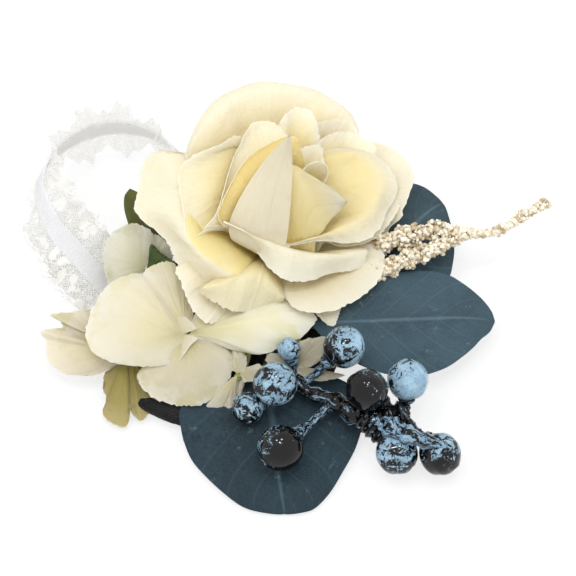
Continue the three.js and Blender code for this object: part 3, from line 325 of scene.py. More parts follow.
def closed_rings(rings: np.ndarray, count: int, sides: int, foot: Point, head: Point) -> Shape:
    """Closed shape of rings of corners with a fan of triangles to one corner at either end.

    Args:
        rings: The corners, ring after ring.
        count: How many rings there are.
        sides: Corners in one ring.
        foot: The corner at the first ring's end.
        head: The corner at the last ring's end.

    Returns:
        The shape, with coordinates round and along it from 0 to 1.
    """
    i = np.arange(count - 1)[:, None] * sides
    j = np.arange(sides)
    after = (j + 1) % sides
    quads = np.stack([i + j, i + after, i + sides + after, i + sides + j], axis=2).reshape(-1, 4)
    low, high = count * sides, count * sides + 1
    last = (count - 1) * sides
    first_fan = np.stack([after, j, np.full(sides, low)], axis=1)
    last_fan = np.stack([last + j, last + after, np.full(sides, high)], axis=1)
    turn, run = np.meshgrid(np.linspace(0, 1, sides), np.linspace(0, 1, count))
    uv = np.concatenate([np.stack([turn.ravel(), run.ravel()], axis=1), [[0, 0], [0, 1]]])
    return Shape(np.concatenate([rings, [foot, head]]), [quads, np.concatenate([first_fan, last_fan])], uv)


def tube(route: np.ndarray, radius: np.ndarray | float, sides: int = 10) -> Shape:
    """Closed round tube along a route: a ring square to the route at each of its places.

    Args:
        route: Places along the middle, in millimetres.
        radius: One radius, or one for each place.
        sides: Corners in one ring.

    Returns:
        The shape.
    """
    forward = unit(np.gradient(route, axis=0))
    side = np.empty_like(forward)
    start = UP if abs(forward[0, 2]) < 0.9 else np.array([1.0, 0.0, 0.0])
    held = np.cross(forward[0], start)
    for i, direction in enumerate(forward):
        held = held - direction * (held @ direction)
        held = held / np.linalg.norm(held)
        side[i] = held
    other = np.cross(forward, side)
    angles = np.linspace(0, 2 * math.pi, sides, endpoint=False)
    reach = np.broadcast_to(np.asarray(radius, float), (len(route),))[:, None, None]
    rings = route[:, None] + reach * (
        np.cos(angles)[:, None] * side[:, None] + np.sin(angles)[:, None] * other[:, None]
    )
    return closed_rings(rings.reshape(-1, 3), len(route), sides, route[0], route[-1])


@dataclass(frozen=True)
class Place:
    """A frame of its own for a flower or a berry: its foot and its axis, about the pad's middle."""

    foot: Point
    axis: Point = (0.0, 0.0, 1.0)

    def basis(self) -> np.ndarray:
        """Rows that are the frame's right, back and axis directions."""
        axis = unit(np.array(self.axis, float))
        right = unit(np.array([1.0, 0.0, 0.0]) - axis[0] * axis)
        return np.stack([right, np.cross(axis, right), axis])

    def put(self, places: np.ndarray) -> np.ndarray:
        """Places in this frame as places about the pad's middle."""
        return places @ self.basis() + np.array(self.foot)


def stand(
    name: str,
    shape: Shape,
    material: Material,
    nodes: tuple[str, ...] = (),
    body: Body = Body.FLOWERS,
    sharp: float = 50.0,
) -> bpy.types.Object:
    """Puts a finished piece in the scene, on its body and in place of its CAD nodes.

    Args:
        name: The piece's name.
        shape: Its shape.
        material: Its finish.
        nodes: CAD nodes that it stands for.
        body: The body that it rides on.
        sharp: Edges that turn more than this many degrees are drawn sharp.

    Returns:
        The piece.
    """
    piece = bpy.data.objects.new(name, shape.mesh(name, sharp))
    bpy.context.scene.collection.objects.link(piece)
    piece.data.materials.append(material)
    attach(piece, body.value)
    if nodes:
        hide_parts(*nodes)
    LOG.info("%s: %d faces, rides on %s", name, len(piece.data.polygons), body.value)
    return piece


# Shader helpers

def linear(red: int, green: int, blue: int) -> tuple[float, float, float, float]:
    """A colour in 0 to 255 steps as Blender's linear colour."""
    parts = [c / 255 for c in (red, green, blue)]
    return (*[c / 12.92 if c <= 0.04045 else ((c + 0.055) / 1.055) ** 2.4 for c in parts], 1.0)


class Nodes:
    """A node tree with short calls for the nodes that the finishes use."""

    def __init__(self, tree: NodeTree) -> None:
        """Starts on an empty tree."""
        self.tree = tree
        tree.nodes.clear()

    def add(self, kind: str, inputs: dict | None = None, **settings: object) -> Node:
        """A node with its settings and inputs.

        Args:
            kind: The node's type.
            inputs: Values to set, or sockets to join, by the input's name or number.
            settings: The node's own settings.

        Returns:
            The node.
        """
        node = self.tree.nodes.new(kind)
        for key, value in settings.items():
            setattr(node, key, value)
        for key, value in (inputs or {}).items():
            if isinstance(value, Socket):
                self.tree.links.new(value, node.inputs[key])
            else:
                node.inputs[key].default_value = value
        return node

    def math(self, operation: str, *values: float | Socket, clamp: bool = False) -> Socket:
        """The result of a Math node."""
        inputs = dict(enumerate(values))
        return self.add("ShaderNodeMath", inputs, operation=operation, use_clamp=clamp).outputs[0]

    def plus(self, a: float | Socket, b: float | Socket, clamp: bool = False) -> Socket:
        """The sum of two values."""
        return self.math("ADD", a, b, clamp=clamp)

    def minus(self, a: float | Socket, b: float | Socket) -> Socket:
        """The first value less the second."""
        return self.math("SUBTRACT", a, b)

    def times(self, a: float | Socket, b: float | Socket, clamp: bool = False) -> Socket:
        """The product of two values."""
        return self.math("MULTIPLY", a, b, clamp=clamp)

    def most(self, a: float | Socket, b: float | Socket) -> Socket:
        """The greater of two values."""
        return self.math("MAXIMUM", a, b)

    def apart(self, a: float | Socket, b: float | Socket) -> Socket:
        """How far two values are apart."""
        return self.math("ABSOLUTE", self.minus(a, b))

    def spread(
        self, value: Socket, low: float, high: float, to_low: float = 0.0, to_high: float = 1.0
    ) -> Socket:
        """The value eased from low to high onto another span, and held at its ends."""
        inputs = {"Value": value, 1: low, 2: high, 3: to_low, 4: to_high}
        return self.add("ShaderNodeMapRange", inputs, interpolation_type="SMOOTHSTEP").outputs[0]

    def mix(self, factor: float | Socket, a: tuple | Socket, b: tuple | Socket) -> Socket:
        """Two colours mixed."""
        return self.add("ShaderNodeMix", {0: factor, 6: a, 7: b}, data_type="RGBA").outputs[2]

    def noise(
        self, vector: Socket, scale: float | Socket, detail: float, rough: float = 0.5, warp: float = 0.0
    ) -> Socket:
        """The value of a noise texture."""
        inputs = {"Vector": vector, "Scale": scale, "Detail": detail, "Roughness": rough}
        return self.add("ShaderNodeTexNoise", inputs | {"Distortion": warp}).outputs[0]

    def cells(self, vector: Socket, scale: float, feature: str) -> Socket:
        """The distance that a Voronoi texture puts out."""
        inputs = {"Vector": vector, "Scale": scale}
        return self.add("ShaderNodeTexVoronoi", inputs, feature=feature).outputs["Distance"]

    def mapped(self, vector: Socket, scale: Point, move: Point = (0, 0, 0)) -> Socket:
        """Coordinates stretched and moved."""
        inputs = {"Vector": vector, "Scale": scale, "Location": move}
        return self.add("ShaderNodeMapping", inputs).outputs[0]

    def split(self, vector: Socket) -> tuple[Socket, ...]:
        """The three parts of a vector."""
        return tuple(self.add("ShaderNodeSeparateXYZ", {0: vector}).outputs)

    def cloth(self) -> Socket:
        """A piece's cloth coordinates: across it and along it, from 0 to 1."""
        return self.add("ShaderNodeUVMap", uv_map=CLOTH_LAYER).outputs[0]

    def place(self) -> Socket:
        """A piece's own coordinates, in metres."""
        return self.add("ShaderNodeTexCoord").outputs["Object"]

    def tone(self) -> Socket:
        """The tone that a piece's corners hold."""
        return self.add("ShaderNodeAttribute", attribute_name=TONE_LAYER).outputs["Fac"]

    def bump(
        self, height: Socket, distance: float, strength: float = 1.0, after: Socket | None = None
    ) -> Socket:
        """A normal bumped by a height, distance in metres."""
        inputs = {"Height": height, "Distance": distance, "Strength": strength}
        if after is not None:
            inputs["Normal"] = after
        return self.add("ShaderNodeBump", inputs).outputs[0]

    def group(self, tree: NodeTree, inputs: dict) -> Node:
        """A placed node group with its own values."""
        return self.add("ShaderNodeGroup", inputs, node_tree=tree)

    def blend(self, share: float | Socket, first: Node, second: Node) -> Node:
        """Two shaders mixed."""
        return self.add("ShaderNodeMixShader", {0: share, 1: first.outputs[0], 2: second.outputs[0]})

    def face(self, inputs: dict) -> Node:
        """A Principled BSDF with these inputs."""
        return self.add("ShaderNodeBsdfPrincipled", inputs)

    def thin_cloth(
        self, share: float, face: Node, colour: Socket, normal: Socket
    ) -> Node:
        """A face that lets a share of the light through in a colour."""
        through = self.add("ShaderNodeBsdfTranslucent", {"Color": colour, "Normal": normal})
        return self.blend(share, face, through)

    def end(self, surface: Node) -> None:
        """Ends a material's tree in its surface."""
        self.add("ShaderNodeOutputMaterial", {"Surface": surface.outputs[0]})


def new_group(
    name: str, inputs: dict[str, float | None], outputs: tuple[str, ...]
) -> tuple[Nodes, Node]:
    """An empty node group with named sockets.

    Args:
        name: The group's name.
        inputs: Each input's name with its default, or None for a vector.
        outputs: The names of its value outputs.

    Returns:
        The group's nodes and its input node.
    """
    tree = bpy.data.node_groups.new(name, "ShaderNodeTree")
    for key, default in inputs.items():
        kind = "NodeSocketVector" if default is None else "NodeSocketFloat"
        socket = tree.interface.new_socket(name=key, in_out="INPUT", socket_type=kind)
        if default is not None:
            socket.default_value = default
    for key in outputs:
        tree.interface.new_socket(name=key, in_out="OUTPUT", socket_type="NodeSocketFloat")
    nodes = Nodes(tree)
    return nodes, nodes.add("NodeGroupInput")


def close_group(nodes: Nodes, outputs: dict[str, Socket]) -> NodeTree:
    """Joins the group's outputs and returns its tree."""
    nodes.add("NodeGroupOutput", outputs)
    return nodes.tree


# Effects that more than one finish uses


@dataclass
class Effects:
    """The node groups that more than one finish uses, built once."""

    weave: NodeTree = field(init=False)
    mottle: NodeTree = field(init=False)
    flakes: NodeTree = field(init=False)

    def __post_init__(self) -> None:
        """Builds the groups."""
        self.weave = self.build_weave()
        self.mottle = self.build_mottle()
        self.flakes = self.build_flakes()

    @staticmethod
    def build_weave() -> NodeTree:
        """Plain weave: warp and weft are sines of the two cloth coordinates, one over the other by
        the sign of their product, roughened by fine noise. Puts out a height and a tone."""
        inputs = {"Vector": None, "Warp": 120.0, "Weft": 120.0}
        nodes, start = new_group("plain_weave", inputs, ("Height", "Tone"))
        where = start.outputs["Vector"]
        across, along, _ = nodes.split(where)
        warp = nodes.math("SINE", nodes.times(across, start.outputs["Warp"]))
        weft = nodes.math("SINE", nodes.times(along, start.outputs["Weft"]))
        slub = nodes.noise(nodes.mapped(where, (90, 8, 1)), 3.0, 2.0)
        slub_across = nodes.noise(nodes.mapped(where, (8, 90, 1)), 3.0, 2.0)
        threads = nodes.plus(slub, slub_across)
        height = nodes.plus(nodes.times(nodes.times(warp, weft), 0.35), threads)
        return close_group(nodes, {"Height": height, "Tone": nodes.spread(threads, 0.7, 1.3)})

    @staticmethod
    def build_mottle() -> NodeTree:
        """Soft uneven dye: two noises in the object's own coordinates. Puts out a mask from 0 to 1."""
        nodes, start = new_group("soft_mottle", {"Scale": 60.0}, ("Mask",))
        where, scale = nodes.place(), start.outputs["Scale"]
        broad = nodes.noise(where, scale, 2.0)
        fine = nodes.noise(where, nodes.times(scale, 6.0), 3.0)
        both = nodes.plus(nodes.times(broad, 0.75), nodes.times(fine, 0.25))
        return close_group(nodes, {"Mask": nodes.spread(both, 0.36, 0.64)})

    @staticmethod
    def build_flakes() -> NodeTree:
        """Flaking paint: a threshold of warped noise, so that patches have ragged rims and small
        islands, with hairline scratches where a second noise is near its middle. Puts out the
        paint's mask and its height."""
        inputs = {"Vector": None, "Scale": 330.0, "Bare": 0.5, "Lean": 0.0}
        nodes, start = new_group("flaking_paint", inputs, ("Mask", "Height"))
        where, scale = start.outputs["Vector"], start.outputs["Scale"]
        coarse = nodes.noise(where, scale, 6.0, 0.66, 1.1)
        crackle = nodes.noise(where, nodes.times(scale, 5.0), 3.0, 0.7)
        scratched = nodes.noise(where, nodes.times(scale, 1.6), 4.0, 0.5, 2.0)
        mixed = nodes.plus(nodes.times(coarse, 0.74), nodes.times(crackle, 0.26))
        over = nodes.minus(nodes.plus(mixed, start.outputs["Lean"]), start.outputs["Bare"])
        hairs = nodes.spread(nodes.apart(scratched, 0.5), 0.004, 0.014, 0.25, 1.0)
        worn = nodes.times(nodes.spread(over, -0.006, 0.03), hairs)
        return close_group(nodes, {"Mask": worn, "Height": nodes.times(over, 12.0, clamp=True)})


EFFECTS = Effects()


def mottled(nodes: Nodes, scale: float) -> Socket:
    """The mask of the soft mottle."""
    return nodes.group(EFFECTS.mottle, {"Scale": scale}).outputs["Mask"]


def woven(nodes: Nodes, warp: float, weft: float) -> tuple[Socket, Socket]:
    """The height and the tone of the plain weave."""
    placed = nodes.group(EFFECTS.weave, {"Vector": nodes.cloth(), "Warp": warp, "Weft": weft})
    return placed.outputs["Height"], placed.outputs["Tone"]


def start_material(name: str) -> tuple[Material, Nodes]:
    """An empty material and its nodes."""
    material = bpy.data.materials.new(name)
    material.use_nodes = True
    return material, Nodes(material.node_tree)


# Finishes


@dataclass(frozen=True)
class PetalFinish:
    """Petal cloth: the inner face is deep yellow at the foot and pale at the rim, partly dye and partly
    painted shade of the hollows between petals, and the outer face is pale all over. Pressed creases
    fan out from the foot with a little painted crease shade along them, with a fine weave and a greenish
    stain in places."""

    name: str
    heart: Colour
    body: Colour
    rim: Colour
    back: Colour = (252, 246, 224)
    stain: Colour = (190, 186, 92)
    stained: float = 0.0
    reach: float = 0.75
    creased: float = 1.0
    thin: float = 0.42
    crest: float = 1.0

    def material(self) -> Material:
        """The finish as a material."""
        material, nodes = start_material(self.name)
        heart, body, rim = linear(*self.heart), linear(*self.body), linear(*self.rim)
        cloth = nodes.cloth()
        reach = nodes.split(cloth)[1]
        fan = nodes.noise(nodes.mapped(cloth, (34, 1.6, 1)), 1.0, 3.0, 0.6)
        wide_fan = nodes.noise(nodes.mapped(cloth, (9, 0.9, 1)), 1.0, 2.0, 0.5)
        # From the heart at the foot to the body and the rim: the deep heart is partly dye and partly painted
        # shade of the hollows between petals.
        inside = nodes.mix(nodes.spread(reach, 0.1, self.reach), heart, body)
        inside = nodes.mix(nodes.spread(reach, self.reach - 0.12, 1.0), inside, rim)
        if self.crest < 1:
            inside = nodes.mix(nodes.spread(reach, self.crest - 0.03, self.crest + 0.02), inside, rim)
        outside = nodes.mix(nodes.spread(reach, 0.0, 0.4), body, linear(*self.back))
        dye_and_shade = nodes.mix(nodes.tone(), outside, inside)
        dye_and_shade = nodes.mix(nodes.times(mottled(nodes, 45.0), 0.25), dye_and_shade, rim)
        dye_and_shade = nodes.mix(nodes.spread(reach, 0.975, 1.0, 0.0, 0.6), dye_and_shade, linear(255, 255, 250))
        # Painted crease shade: a little of the heart colour along the fanned creases.
        crease_shade = nodes.times(nodes.spread(fan, 0.42, 0.75), 0.05 * self.creased)
        dye_and_shade = nodes.mix(crease_shade, dye_and_shade, heart)
        if self.stained:
            edge = nodes.spread(reach, 0.55, 1.0, 0.15, 1.0)
            patch = nodes.times(nodes.spread(mottled(nodes, 110.0), 0.45, 0.95), edge)
            dye_and_shade = nodes.mix(nodes.times(patch, self.stained), dye_and_shade, linear(*self.stain))
        crumple = nodes.noise(nodes.place(), 150.0, 4.0, 0.55)
        folds = nodes.plus(nodes.times(fan, 0.4), nodes.plus(wide_fan, crumple))
        pressed = nodes.bump(folds, 0.0014 * self.creased, 0.8)
        normal = nodes.bump(woven(nodes, 620.0, 620.0)[0], 0.0001, 0.8, pressed)
        looks = {"Base Color": dye_and_shade, "Roughness": 0.74, "Sheen Weight": 0.1, "Sheen Roughness": 0.5}
        face = nodes.face(looks | {"Specular IOR Level": 0.22, "Normal": normal})
        nodes.end(nodes.thin_cloth(self.thin, face, nodes.mix(0.12, dye_and_shade, heart), normal))
        return material


class Cloth(Enum):
    """The petal cloths of the rose and the florets."""

    OUTER = PetalFinish(
        "ivory_outer_cloth", (246, 226, 148), (248, 238, 204), (251, 247, 233), (248, 241, 216)
    )
    # A lighter copy of the ivory cloth for the front petal: painted light against the shade its down-facing
    # rim falls in.
    FRONT = PetalFinish(
        "ivory_front_cloth", (250, 232, 152), (255, 247, 214), (255, 254, 244), (255, 248, 218)
    )
    INNER = PetalFinish(
        "ivory_inner_cloth", (248, 226, 136), (251, 238, 184), (254, 251, 236), reach=0.82
    )
    # Heart and body raised a little to lighten the pocket under the roll: painted light against its shade.
    ROLLED = PetalFinish(
        "ivory_rolled_cloth", (250, 228, 140), (254, 241, 176), (254, 250, 232), crest=0.7
    )
    RIDGE = PetalFinish(
        "ivory_ridge_cloth", (249, 230, 150), (254, 242, 192), (254, 250, 226), (254, 244, 200)
    )
    # Deep yellow at the rim and pale at the foot: painted shade under the frill of the petal above.
    FOLD = PetalFinish(
        "ivory_fold_cloth", (252, 244, 212), (251, 238, 184), (248, 230, 162), (251, 238, 190)
    )
    BUD = PetalFinish(
        "ivory_bud_cloth", (246, 226, 140), (249, 237, 188), (253, 249, 234), (248, 242, 222),
        reach=0.82, creased=0.5,
    )
    DRIED = PetalFinish(
        "dried_cloth", (204, 192, 156), (222, 214, 190), (230, 224, 204), (220, 212, 190), creased=1.6
    )
    OLIVE = PetalFinish(
        "olive_cloth", (182, 168, 86), (186, 172, 108), (204, 190, 136), (188, 174, 114),
        stain=(140, 128, 48), stained=0.9,
    )
    # A darker, more beige floret cloth with a greenish stain, for the left floret and the front floret's
    # bottom petal.
    FADED = PetalFinish(
        "faded_cloth", (236, 226, 178), (238, 229, 206), (246, 240, 224), (234, 226, 204),
        stain=(206, 198, 110), stained=0.4, creased=0.7,
    )
    GREENISH = PetalFinish(
        "greenish_cloth", (230, 226, 190), (244, 242, 224), (250, 249, 238), (238, 237, 218),
        stain=(206, 204, 140), stained=0.4, creased=0.6,
    )
    # A lighter copy of the floret cloth: painted light against the shadow that the rose casts on the front
    # floret's right petal.
    BRIGHT = PetalFinish(
        "bright_floret_cloth", (250, 242, 196), (255, 251, 232), (255, 254, 244), (252, 246, 220),
        stain=(232, 228, 130), stained=0.4, creased=0.55,
    )
    FLORET = PetalFinish(
        "floret_cloth", (243, 233, 186), (248, 241, 219), (251, 247, 234), (246, 240, 214),
        stain=(228, 220, 138), stained=0.24, creased=0.6,
    )

    def material(self) -> Material:
        """The cloth as a material, which is made at its first use."""
        return bpy.data.materials.get(self.value.name) or self.value.material()


@dataclass(frozen=True)
class LeafFinish:
    """Stiffened leaf cloth: a canvas weave that shows, a paler midrib and side veins, dusty scuffs."""

    name: str
    body: Colour
    dark: Colour
    vein: Colour
    scuff: float = 0.25
    dust: Colour = (150, 168, 176)

    def material(self) -> Material:
        """The finish as a material."""
        material, nodes = start_material(self.name)
        across, along, _ = nodes.split(nodes.cloth())
        aside = nodes.apart(across, 0.5)
        height, thread = woven(nodes, 560.0, 620.0)
        shade = nodes.mix(mottled(nodes, 50.0), linear(*self.dark), linear(*self.body))
        shade = nodes.mix(nodes.times(thread, 0.22), shade, linear(*self.vein))
        midrib = nodes.spread(aside, 0.0, 0.028, 0.5, 0.0)
        slanted = nodes.minus(along, nodes.times(aside, 0.55))
        ribs = nodes.apart(nodes.math("FRACT", nodes.times(slanted, 7.0)), 0.5)
        side_veins = nodes.times(nodes.spread(ribs, 0.0, 0.07, 1.0, 0.0), 0.12)
        shade = nodes.mix(nodes.plus(midrib, side_veins, clamp=True), shade, linear(*self.vein))
        specks = nodes.spread(nodes.noise(nodes.place(), 260.0, 6.0, 0.65), 0.62, 0.74)
        shade = nodes.mix(nodes.times(specks, self.scuff), shade, linear(*self.dust))
        veined = nodes.bump(nodes.plus(midrib, side_veins), 0.0006, 0.7)
        normal = nodes.bump(height, 0.00009, 0.8, veined)
        looks = {"Base Color": shade, "Roughness": 0.68, "Sheen Weight": 0.06}
        nodes.end(nodes.face(looks | {"Specular IOR Level": 0.25, "Normal": normal}))
        return material


@dataclass(frozen=True)
class PaintFinish:
    """Glossy black moulding with flaking dusty blue paint. The tone of a place says how much more
    paint is left there. Where it runs along, the flakes follow the cloth coordinates in streaks."""

    name: str
    bare: float
    scale: float
    shift: float
    along: bool = False
    paint: Colour = (156, 187, 206)
    worn_paint: Colour = (104, 136, 160)
    moulding: Colour = (9, 8, 8)

    def material(self) -> Material:
        """The finish as a material."""
        material, nodes = start_material(self.name)
        where = nodes.place()
        if self.along:
            laid = nodes.mapped(nodes.cloth(), (0.012, 0.016, 1), (self.shift, 0, 0))
        else:
            laid = nodes.mapped(where, (1, 1, 1), (self.shift, self.shift, 0))
        inputs = {"Vector": laid, "Scale": self.scale, "Bare": self.bare}
        inputs["Lean"] = nodes.times(nodes.tone(), 0.1)
        flakes = nodes.group(EFFECTS.flakes, inputs).outputs
        uneven = nodes.times(mottled(nodes, 260.0), 0.55)
        paint = nodes.mix(uneven, linear(*self.paint), linear(*self.worn_paint))
        pits = nodes.noise(where, 1500.0, 3.0, 0.6)
        height = nodes.plus(flakes["Height"], nodes.times(pits, 0.3))
        looks = {
            "Base Color": nodes.mix(flakes["Mask"], linear(*self.moulding), paint),
            "Roughness": nodes.spread(flakes["Mask"], 0.0, 1.0, 0.1, 0.42),
            "Specular IOR Level": 0.06,
            "Coat Weight": 0.6,
            "Coat Roughness": 0.05,
            "Normal": nodes.bump(height, 0.00014, 0.8),
        }
        nodes.end(nodes.face(looks))
        return material


@dataclass(frozen=True)
class PlainFinish:
    """A finish of two tones in uneven patches with a fine grain: felt, tape, stalks and the like."""

    name: str
    light: Colour
    dark: Colour
    rough: float = 0.8
    scale: float = 120.0
    grain: float = 900.0
    depth: float = 0.0002
    sheen: float = 0.0
    specular: float = 0.4
    glow: float = 0.0

    def material(self) -> Material:
        """The finish as a material."""
        material, nodes = start_material(self.name)
        grain = nodes.noise(nodes.place(), self.grain, 5.0, 0.65)
        looks = {
            "Base Color": nodes.mix(mottled(nodes, self.scale), linear(*self.dark), linear(*self.light)),
            "Roughness": self.rough,
            "Sheen Weight": self.sheen,
            "Specular IOR Level": self.specular,
            "Subsurface Weight": self.glow,
            "Subsurface Scale": 0.002,
            "Normal": nodes.bump(grain, self.depth, 0.9),
        }
        nodes.end(nodes.face(looks))
        return material


@dataclass(frozen=True)
class GrainFinish:
    """Crumbs of dried foam, each with a tone of its own, some browned."""

    name: str = "foam_grains"
    dark: Colour = (190, 170, 134)
    middle: Colour = (236, 224, 198)
    pale: Colour = (252, 247, 232)
    pore: Colour = (120, 96, 62)

    def material(self) -> Material:
        """The finish as a material."""
        material, nodes = start_material(self.name)
        tone = nodes.tone()
        shade = nodes.mix(nodes.spread(tone, 0.0, 0.5), linear(*self.dark), linear(*self.middle))
        shade = nodes.mix(nodes.spread(tone, 0.5, 1.0), shade, linear(*self.pale))
        pores = nodes.noise(nodes.place(), 2200.0, 4.0, 0.7)
        # Darker brown where the noise is low, in the pits: painted shade.
        shade = nodes.mix(nodes.spread(pores, 0.3, 0.44, 0.55, 0.0), shade, linear(*self.pore))
        normal = nodes.bump(pores, 0.0003, 0.9)
        nodes.end(nodes.face({"Base Color": shade, "Roughness": 0.9, "Normal": normal}))
        return material


@dataclass(frozen=True)
class LaceFinish:
    """White lace: a fine net, denser flower motifs and a solid scalloped rim. Between the threads it is
    open, and near the pad it is denser, with its film grey there as painted shade of the loop's inside.
    Length and width are the lace's own in millimetres, and open_from is how far back it starts to be open,
    in metres."""

    length: float
    width: float
    name: str = "white_lace"
    open_from: float = 0.046
    yarn: Colour = (252, 251, 248)
    film: Colour = (242, 242, 239)
    dense_film: Colour = (180, 181, 178)

    def material(self) -> Material:
        """The finish as a material."""
        material, nodes = start_material(self.name)
        threads = self.threads(nodes)
        back = nodes.split(nodes.place())[1]
        dense = nodes.spread(back, self.open_from - 0.03, self.open_from, 1.0, 0.0)
        open_net = nodes.plus(0.08, nodes.times(dense, 0.2))
        solid = nodes.plus(0.5, nodes.times(dense, 0.3))
        threaded = nodes.spread(threads, 0.25, 0.75)
        alpha = nodes.plus(open_net, nodes.times(threaded, nodes.minus(solid, open_net)))
        # The film is grey near the pad: painted shade of the loop's inside seen through the lace.
        film = nodes.mix(dense, linear(*self.film), linear(*self.dense_film))
        colour = nodes.mix(threaded, film, linear(*self.yarn))
        raised = nodes.bump(threads, 0.0003, 0.7)
        looks = {"Base Color": colour, "Roughness": 0.6, "Sheen Weight": 0.2, "Normal": raised}
        lit = nodes.thin_cloth(0.5, nodes.face(looks), colour, raised)
        nodes.end(nodes.blend(alpha, nodes.add("ShaderNodeBsdfTransparent"), lit))
        return material

    def threads(self, nodes: Nodes) -> Socket:
        """Where the threads are, from 0 to 1: a slanted net, flower motifs between cords, a solid
        border at both rims and a dense middle where the elastic is sewn on."""
        cloth = nodes.cloth()
        real = nodes.mapped(cloth, (self.width, self.length, 1))
        across, along, _ = nodes.split(real)
        slants = [
            nodes.math("ABSOLUTE", nodes.math("SINE", nodes.times(slant, 2.6)))
            for slant in (nodes.plus(across, along), nodes.minus(across, along))
        ]
        net = nodes.spread(nodes.minus(1.0, nodes.math("MINIMUM", *slants)), 0.62, 0.86)
        motif = nodes.spread(nodes.cells(real, 0.22, "F1"), 0.38, 0.46, 1.0, 0.0)
        petals = nodes.cells(real, 0.9, "DISTANCE_TO_EDGE")
        cords = nodes.times(nodes.spread(petals, 0.04, 0.12, 1.0, 0.0), 0.9)
        filled = nodes.most(nodes.times(motif, nodes.spread(petals, 0.02, 0.1, 0.5, 1.0)), cords)
        from_rim = nodes.minus(0.5, nodes.apart(nodes.split(cloth)[0], 0.5))
        border = nodes.spread(from_rim, 0.03, 0.06, 1.0, 0.0)
        middle = nodes.spread(from_rim, 0.36, 0.4, 0.0, 0.85)
        return nodes.most(nodes.most(net, filled), nodes.most(border, middle))


@dataclass(frozen=True)
class ElasticFinish:
    """White satin elastic with fine ribs across."""

    name: str = "satin_elastic"
    ribs: float = 1400.0
    dark: Colour = (240, 240, 242)
    light: Colour = (251, 251, 252)

    def material(self) -> Material:
        """The finish as a material."""
        material, nodes = start_material(self.name)
        rib = nodes.math("SINE", nodes.times(nodes.split(nodes.cloth())[1], self.ribs))
        height, thread = woven(nodes, 60.0, self.ribs)
        satin = nodes.mix(thread, linear(*self.dark), linear(*self.light))
        raised = nodes.bump(nodes.plus(rib, height), 0.00006, 0.6)
        looks = {"Base Color": satin, "Roughness": 0.45, "Sheen Weight": 0.3, "Normal": raised}
        nodes.end(nodes.thin_cloth(0.55, nodes.face(looks), satin, raised))
        return material


# Petals


@dataclass(frozen=True)
class Petal:
    """A moulded petal that fans out from its flower's hub to its outline.

    Rim is the outline from its right foot round to its left one, and inner holds the lines that the
    cloth passes on its way there, such as the one it rolls over. All are in the flower's own frame,
    in millimetres. Lift and roll are the slopes at the hub and at the rim, in degrees.
    """

    name: str
    lift: float
    roll: float
    rim: Route
    inner: tuple[Route, ...] = ()
    seat: float = 0.0
    ripple: float = 0.35
    fray: float = 0.2
    thick: float = 0.32
    rows: int = 34
    columns: int = 96

    def grid(self, hub: float) -> np.ndarray:
        """The petal's surface in its flower's frame.

        Each column is a cubic curve that leaves the hub at the slope lift, passes the inner lines,
        and meets the rim at the slope roll. Ripples grow with the cube of the reach. The columns run
        against the clock, so that the normals point to the petal's inner face.

        Args:
            hub: Radius of the hub that the petal leaves.

        Returns:
            Places by row and column, in millimetres.
        """
        seed = sum(ord(letter) for letter in self.name)
        rim = spline(self.rim, self.columns)
        middle = rim[:, :2].mean(axis=0)
        from_middle = rim[:, :2] - middle
        away = unit(middle) + 0.5 * from_middle / np.linalg.norm(from_middle, axis=1).max()
        away = np.concatenate([unit(away), np.zeros((self.columns, 1))], axis=1)
        foot = hub * away + [0, 0, self.seat]
        knots = np.stack([foot, *[spline(line, self.columns) for line in self.inner], rim])
        gaps = np.linalg.norm(np.diff(knots, axis=0), axis=2)
        steps = gaps.mean(axis=1)
        shares = np.concatenate([[0], np.cumsum(steps) / steps.sum()])
        outward = rim - foot
        outward[:, 2] = 0
        outward = unit(unit(outward) + away)
        lift, roll = math.radians(self.lift), math.radians(self.roll)
        first = (gaps[0] / shares[1])[:, None] * (math.cos(lift) * away + math.sin(lift) * UP)
        last = (gaps[-1] / (1 - shares[-2]))[:, None] * (math.cos(roll) * outward + math.sin(roll) * UP)
        at = np.linspace(0, 1, self.rows)
        grid = hermite(knots, shares, first, last, at)
        across = np.linspace(0, 1, self.columns)
        edge = waves(across, seed, (2.3, 4.1, 7.7)) * np.minimum(1, 6 * np.minimum(across, 1 - across))
        puckers = waves(across, seed + 1, (11.0, 17.0, 23.0))
        lifted = self.ripple * (at**3)[:, None] * edge + 0.2 * (at * (1 - at))[:, None] * puckers
        grid = grid + normals_of(grid) * lifted[..., None]
        ragged = np.random.default_rng(seed).normal(0, self.fray, self.columns)
        grid[-1] += unit(grid[-1] - grid[-2]) * ragged[:, None]
        turn = np.unwrap(np.arctan2(rim[:, 1], rim[:, 0]))
        return grid if turn[-1] > turn[0] else grid[:, ::-1]

    def shape(self, place: Place, hub: float) -> Shape:
        """The petal as a closed sheet at its flower's place, thinner toward its rim."""
        thin = np.linspace(1, 0.6, self.rows)[:, None] * self.thick
        return sheet(place.put(self.grid(hub)), thin)


